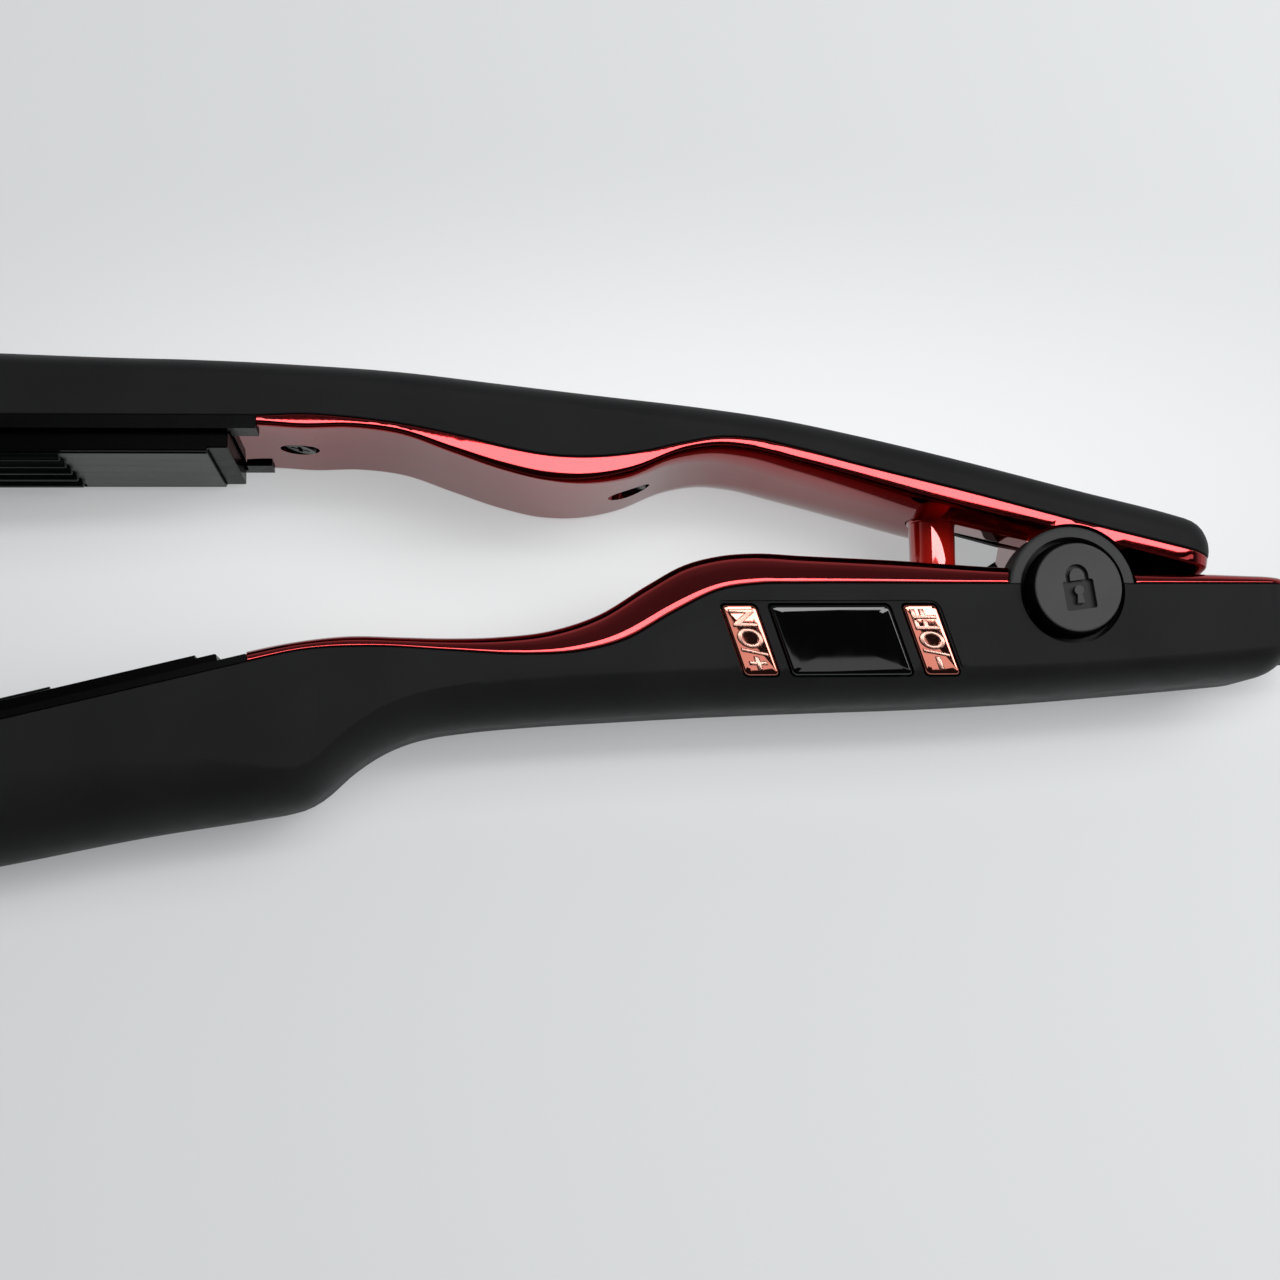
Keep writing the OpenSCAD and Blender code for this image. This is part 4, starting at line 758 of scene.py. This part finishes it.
def lock_button():
    """The button's face with its sign, on a near-black skirt that narrows towards it; the skirt's darker
    black is painted shade on the button's side wall.
    """
    edge = fillet(FACE_R, FACE_TOP, 0.3, base=FACE_UNDER)[1:]
    face = lathe("lock_button", [(0, NECK_FROM), (NECK_R, NECK_FROM), (NECK_R, FACE_UNDER)] + edge, n=160)
    skirt = lathe("lock_button_skirt", [(0, 31), (LOCK_R - 0.1, 31), (LOCK_R, 31.1), (LOCK_R, 32.3),
                                        (7.62, 34.38), (6.98, 34.38), (6.98, 32.95), (0, 32.95)], n=160)
    return combine(face, padlock(SIGN_FLOOR, FACE_TOP + 1)), skirt


def shade_sign_floor(button):
    """Gives the sign's floor a darker colour, which is painted shade in the sunken sign."""
    button.data.materials.append(LOCK_SIGN_SHADE)
    level = to_row([(0, 0, SIGN_FLOOR)])[0][2]
    for face in button.data.polygons:
        if face.normal.z > 0.9 and abs(face.center.z - level) < 0.1 * MM:
            face.material_index = 1


button, skirt = lock_button()
shade_sign_floor(finish(soften(button, 0, 28), LOCK_BLACK, "lock", "lock_button"))
# The skirt takes the plate frames' near-black: painted shade on the button's side wall.
finish(soften(skirt, 0, 28), FRAME_BLACK, "lock", "lock_button")
release = lathe("release_button", fillet(LOCK_R, LOCK_T, 0.8), n=128)
finish(soften(release, 0, 28), LOCK_BLACK, "lock", "release_button")

POST_R, POST_FOOT, POST_SEAT = 4.05, 1.6, 14.3   # its end at the spring, and its shoulder under the collar
POST_PIN, POST_TOP = 2.0, 17.1
KNUCKLE_R, KNUCKLE_IN, BORE = 9, 6.6, 4.56       # the knuckle's ends stand this far inside the flat sides
COLLAR_R, COLLAR_TOP = 4.4, 17.6


def on_post(name, profile):
    return lathe(name, profile, POST_AT, "y", 96)


def knuckle():
    """The knuckle about the hinge sleeve, with its neck, its bridge, the tongue and collar of the post,
    and the pit with a tooth where the lock's tab goes."""
    near = ARM_W - KNUCKLE_IN
    o = lathe("knuckle", [(KNUCKLE_R, KNUCKLE_IN), (KNUCKLE_R, near), (BORE, near), (BORE, KNUCKLE_IN)],
              n=128, arm="up")
    neck = box((-7.5, 5.0, 6.64), (7.5, 15.5, 25.36), "up")
    bridge = box((-19, 12.9, 6.62), (9, 15.6, 25.38), "up")
    tongue = box((-20.8, 9.9, MIDDLE - 3.5), (-1, 12.95, MIDDLE + 3.5), "up")
    soften(tongue, 0.8, 30, 4)
    collar = on_post("cutter", [(0, POST_SEAT), (4.1, POST_SEAT), (4.3, 14.38), (COLLAR_R, 14.6),
                                (COLLAR_R, 17.2), (4.3, 17.5), (4.0, COLLAR_TOP), (0, COLLAR_TOP)])
    combine(o, [neck, bridge, tongue, collar], "UNION")
    through = rod(BORE, -5, 40, n=64, arm="up")
    pit = combine(sector(TAB_IN - 0.3, TAB_OUT + 0.3, TAB_AT - 26, TAB_AT + 26, 22.4, 28, "up"),
                  [sector(TAB_IN - 1, TAB_OUT + 1, 209, 214, 21, 30, "up")])
    seat = on_post("cutter", [(0, 0), (4.1, 0), (4.1, 14.29), (2.05, 14.29), (2.05, 17.2), (0, 17.2)])
    return combine(o, [through, pit, seat])


post = on_post("spring_post", [(0, POST_FOOT), (3.6, POST_FOOT), (3.9, 1.75), (POST_R, 2.1),
                               (POST_R, POST_SEAT), (POST_PIN, POST_SEAT), (POST_PIN, POST_TOP),
                               (0, POST_TOP)])
finish(soften(post, 0, 30), POST_RED, "upper_arm", "spring_post")
finish(soften(knuckle(), 0, 30), POST_RED, "upper_arm", "hinge_knuckle")

# ------------------------------------------------------------------ controls
KEY_TOP = 32.0
SIGN_Z = KEY_TOP - 0.02      # the middle of the raised signs


def lettering(name, text, x, length=10.2, height=4.3, raised=0.3):
    """Raised signs that read up the key, as one mesh."""
    cu = bpy.data.curves.new("sign", "FONT")
    cu.body = text
    cu.size = 1.0
    cu.extrude, cu.bevel_depth, cu.bevel_resolution, cu.offset = 0.03, 0.035, 2, 0.004
    o = bpy.data.objects.new("sign", cu)
    bpy.context.scene.collection.objects.link(o)
    bpy.context.view_layer.update()
    me = bpy.data.meshes.new_from_object(o.evaluated_get(bpy.context.evaluated_depsgraph_get()))
    bpy.data.objects.remove(o)
    co = np.array([v.co for v in me.vertices])
    lo, hi = co.min(0), co.max(0)
    u = ((co - (lo + hi) / 2) / (hi - lo)) * (length, height, 2 * raised)
    shift = math.tan(PANEL_LEAN)
    points = to_row(np.stack([PANEL_AT[0] + x - u[:, 1] - shift * u[:, 0], PANEL_AT[1] + u[:, 0],
                              SIGN_Z + u[:, 2]], 1))
    for v, p in zip(me.vertices, points):
        v.co = p
    t = bpy.data.objects.new(name, me)
    bpy.context.scene.collection.objects.link(t)
    return t


for body, x, text in (("on_key", -KEY_AT, "+/ON"), ("off_key", KEY_AT, "\u2212/OFF")):
    key = domed_cell(body + "_cap", x, KEY_LENGTH, 29.31, KEY_TOP, 0.4, 0.07)
    combine(key, [cell(x, 7.4, -0.5, 29.2, 30.1)], "UNION")
    finish(soften(key, 0, 40), ROSE, body, body)
    sign = lettering(body + "_sign", text, x)
    finish(soften(sign, 0, 40), ROSE_SATIN, body)
window = domed_cell("display_window_glass", 0, WINDOW_LENGTH, 30.59, KEY_TOP, 0.55, 0.008)
combine(window, [cell(0, WINDOW_LENGTH, -0.5, 29.3, 30.6)], "UNION")
finish(soften(window, 0, 40), WINDOW, "lower_arm", "display_window")


def polish(node, look, body, width=0.15, angle=30, segments=2):
    """A copy of a CAD node with merged faces, softened edges and smooth shading."""
    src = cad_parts[node]
    o = bpy.data.objects.new(node + "_look", src.data.copy())
    bpy.context.scene.collection.objects.link(o)
    for a in list(o.data.attributes):
        if a.name.startswith("custom_normal"):
            o.data.attributes.remove(a)
    soften(o, width, angle, segments)
    return finish(o, look, body, node, flat="pads" not in node)


for name, side in (("lower", -1), ("upper", 1)):
    arm, unit = name + "_arm", name + "_plate_unit"
    polish(name + "_plate_frame", FRAME_BLACK, arm, 0.3, 30, 3)
    polish(name + "_plate_carrier", CARRIER_BLACK, unit, 0.25, 30, 3)
    polish(name + "_plate", CERAMIC, unit, 0.12, 50, 2)
    polish(name + "_heater", HEATER, unit, 0.1)
    polish(name + "_mica_sheet", MICA, unit, 0.05)
    polish(name + "_temperature_sensor", BRASS, unit, 0.1)
    polish(name + "_cover_screws", SCREW_IN_SHADE, arm, 0.08)
    polish(name + "_heater_leads", LEAD, arm, 0, 60)
    pads = polish(name + "_plate_pads", SILICONE, arm, 0.2)
    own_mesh(pads)
polish("hinge_sleeve", STEEL, "lower_arm", 0.15)
polish("hinge_washers", STEEL, "lower_arm", 0.08)
polish("lock_spindle", STEEL, "lock", 0.2)
polish("lock_tab", STEEL, "lock", 0.05)
polish("control_board", BOARD, "lower_arm", 0.1)
polish("key_switches", SWITCH, "lower_arm", 0.1)
polish("display_module", DISPLAY, "lower_arm", 0.1)
polish("thermal_fuse", BRASS, "lower_arm", 0.2)
polish("terminal_block", TERMINAL, "lower_arm", 0.3)
polish("cord_gland", GLAND, "gland", 0.35, 30, 3)

# ------------------------------------------------------------------ opening spring, as a round wire
TURNS, COIL, WIRE = 6, 3.0, 0.9
STEPS, SIDES = 40, 12                        # places in a turn, and sides of the wire
SEAT_H = 2.0                                 # the spring's seat stands half in the shell's wall
SEAT = curve(low_back, POST_X) + WALL - WALL / 2 + SEAT_H


def spring_wire():
    pts, faces = [], []
    count = TURNS * STEPS
    rise = POST_FOOT - SEAT - WIRE
    for i in range(count + 1):
        a = 2 * math.pi * i / STEPS
        centre = np.array([POST_X + COIL * math.cos(a), SEAT + WIRE / 2 + rise * i / count,
                           MIDDLE + COIL * math.sin(a)])
        out = np.array([math.cos(a), 0, math.sin(a)])
        for k in range(SIDES):
            t = 2 * math.pi * k / SIDES
            pts.append(centre + WIRE / 2 * (math.cos(t) * out + math.sin(t) * np.array([0, 1, 0])))
    for i in range(count):
        for k in range(SIDES):
            j = (k + 1) % SIDES
            faces.append((i * SIDES + k, i * SIDES + j, (i + 1) * SIDES + j, (i + 1) * SIDES + k))
    faces += [tuple(range(SIDES))[::-1], tuple(count * SIDES + k for k in range(SIDES))]
    return mesh_object("opening_spring_wire", pts, faces)


coil = finish(soften(spring_wire(), 0, 60), SPRING, "lower_arm", "opening_spring", flat=False)
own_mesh(coil)


# ------------------------------------------------------------------ floor and light
def floor_material():
    """Pale paper: part of what the camera sees of it is its own light, so the shadows on it stay soft; a
    painted pool of light lightens the shade between the arms.
    """
    m, nt, b = material("floor")
    put(b, rough=0.9, spec=0.1)
    tone = ramp(nt, noise(nt, 3.0, 2.0), [(0.3, (0.50, 0.51, 0.513)), (0.7, (0.53, 0.54, 0.543))])
    nt.links.new(tone, b.inputs["Base Color"])
    path = nt.nodes.new("ShaderNodeLightPath")
    seen = path.outputs["Is Camera Ray"]
    for other in ("Is Glossy Ray", "Is Transmission Ray"):
        either = nt.nodes.new("ShaderNodeMath")
        either.operation = "MAXIMUM"
        nt.links.new(seen, either.inputs[0])
        nt.links.new(path.outputs[other], either.inputs[1])
        seen = either.outputs[0]
    nt.links.new(seen, b.inputs["Emission Strength"])
    place = nt.nodes.new("ShaderNodeTexCoord")

    def reach(centre, squeeze, near, far):
        """0 to 1 as the distance from a design point, with x squeezed, grows from near to far metres."""
        x, y, _ = to_row([(*centre, 0)])[0]
        shift = nt.nodes.new("ShaderNodeMapping")
        shift.inputs["Scale"].default_value = (squeeze, 1, 1)
        shift.inputs["Location"].default_value = (-x * squeeze, -y, 0)
        nt.links.new(place.outputs["Object"], shift.inputs["Vector"])
        length = nt.nodes.new("ShaderNodeVectorMath")
        length.operation = "LENGTH"
        nt.links.new(shift.outputs["Vector"], length.inputs[0])
        span = nt.nodes.new("ShaderNodeMapRange")
        span.interpolation_type = "SMOOTHSTEP"
        span.inputs["From Min"].default_value, span.inputs["From Max"].default_value = near, far
        nt.links.new(length.outputs["Value"], span.inputs["Value"])
        return span.outputs[0]

    # painted light: extra glow in a pool on the floor between the arms, brightest at its middle, which
    # lightens the shade the arms cast there
    between = ramp(nt, reach(centre=(-65, 24), squeeze=0.35, near=0.005, far=0.07),
                   [(0, (0.43, 0.438, 0.44)), (1, (0.235, 0.242, 0.245))])
    away = ramp(nt, reach(centre=(-80, 0), squeeze=1, near=0.3, far=2.0),
                [(0, 0.0), (1, (0.58, 0.59, 0.595))])
    lighter = nt.nodes.new("ShaderNodeVectorMath")
    lighter.operation = "MAXIMUM"
    nt.links.new(between, lighter.inputs[0])
    nt.links.new(away, lighter.inputs[1])
    nt.links.new(lighter.outputs[0], b.inputs["Emission Color"])
    return m


bpy.ops.mesh.primitive_plane_add(size=8.0, location=(0, 0, -0.0002))
floor = bpy.context.active_object
floor.name = "floor"
floor.data.materials.append(floor_material())


def studio_world():
    """Pale near the horizon, dim overhead towards +Y and dark overhead towards -Y, so that polished faces
    show dark bands beside bright ones."""
    world = bpy.data.worlds.new("studio")
    bpy.context.scene.world = world
    world.use_nodes = True
    nt = world.node_tree
    tc = nt.nodes.new("ShaderNodeTexCoord")
    xyz = nt.nodes.new("ShaderNodeSeparateXYZ")
    nt.links.new(tc.outputs["Generated"], xyz.inputs[0])

    def along(axis, stops):
        half = nt.nodes.new("ShaderNodeMath")
        half.operation = "MULTIPLY_ADD"
        half.inputs[1].default_value, half.inputs[2].default_value = 0.5, 0.5
        nt.links.new(xyz.outputs[axis], half.inputs[0])
        return ramp(nt, half.outputs[0], [((v + 1) / 2, c) for v, c in stops])

    def join(operation, one, other):
        node = nt.nodes.new("ShaderNodeVectorMath")
        node.operation = operation
        nt.links.new(one, node.inputs[0])
        nt.links.new(other, node.inputs[1])
        return node.outputs[0]

    glow = join("MULTIPLY", along("Z", [(-0.02, 0.66), (0.2, 0.54), (0.4, 0.14), (0.62, 0.0)]),
                along("Y", [(-0.8, 0.25), (-0.3, 0.6), (0.1, 1.0)]))
    above = along("Y", [(0.2, (0.02, 0.021, 0.023)), (0.32, (0.12, 0.125, 0.13)), (0.7, (0.14, 0.145, 0.15)),
                        (1, (0.27, 0.28, 0.29))])
    is_camera = nt.nodes.new("ShaderNodeLightPath").outputs["Is Camera Ray"]
    seen = ramp(nt, is_camera, [(0, 0.0), (1, (0.62, 0.63, 0.635))])
    nt.links.new(join("MAXIMUM", join("MAXIMUM", glow, above), seen), nt.nodes["Background"].inputs["Color"])


studio_world()


def lamp(name, x, y, height, radiance, seen=True):
    """A level panel over x and y ranges (millimetres, design axes) that shines down; seen says whether
    polished faces show it."""
    li = bpy.data.lights.new(name, "AREA")
    li.shape = "RECTANGLE"
    li.size, li.size_y = (x[1] - x[0]) * MM, (y[1] - y[0]) * MM
    li.energy = 4 * radiance * li.size * li.size_y
    o = bpy.data.objects.new(name, li)
    bpy.context.scene.collection.objects.link(o)
    o.location = to_row([((x[0] + x[1]) / 2, (y[0] + y[1]) / 2, height)])[0]
    o.visible_glossy = seen
    o.visible_camera = False
    return o


lamp("strip", (-320, 1500), (204, 340), height=1200, radiance=6.0)
lamp("fill", (-320, 1500), (62, 134), height=1200, radiance=1.0)
soft = lamp("soft_box", (-100, 900), (-100, 600), height=1100, radiance=2.1, seen=False)
soft.rotation_euler = (math.radians(-12), 0, 0)
lamp("side_box", (120, 720), (-200, 400), height=720, radiance=2.1, seen=False)
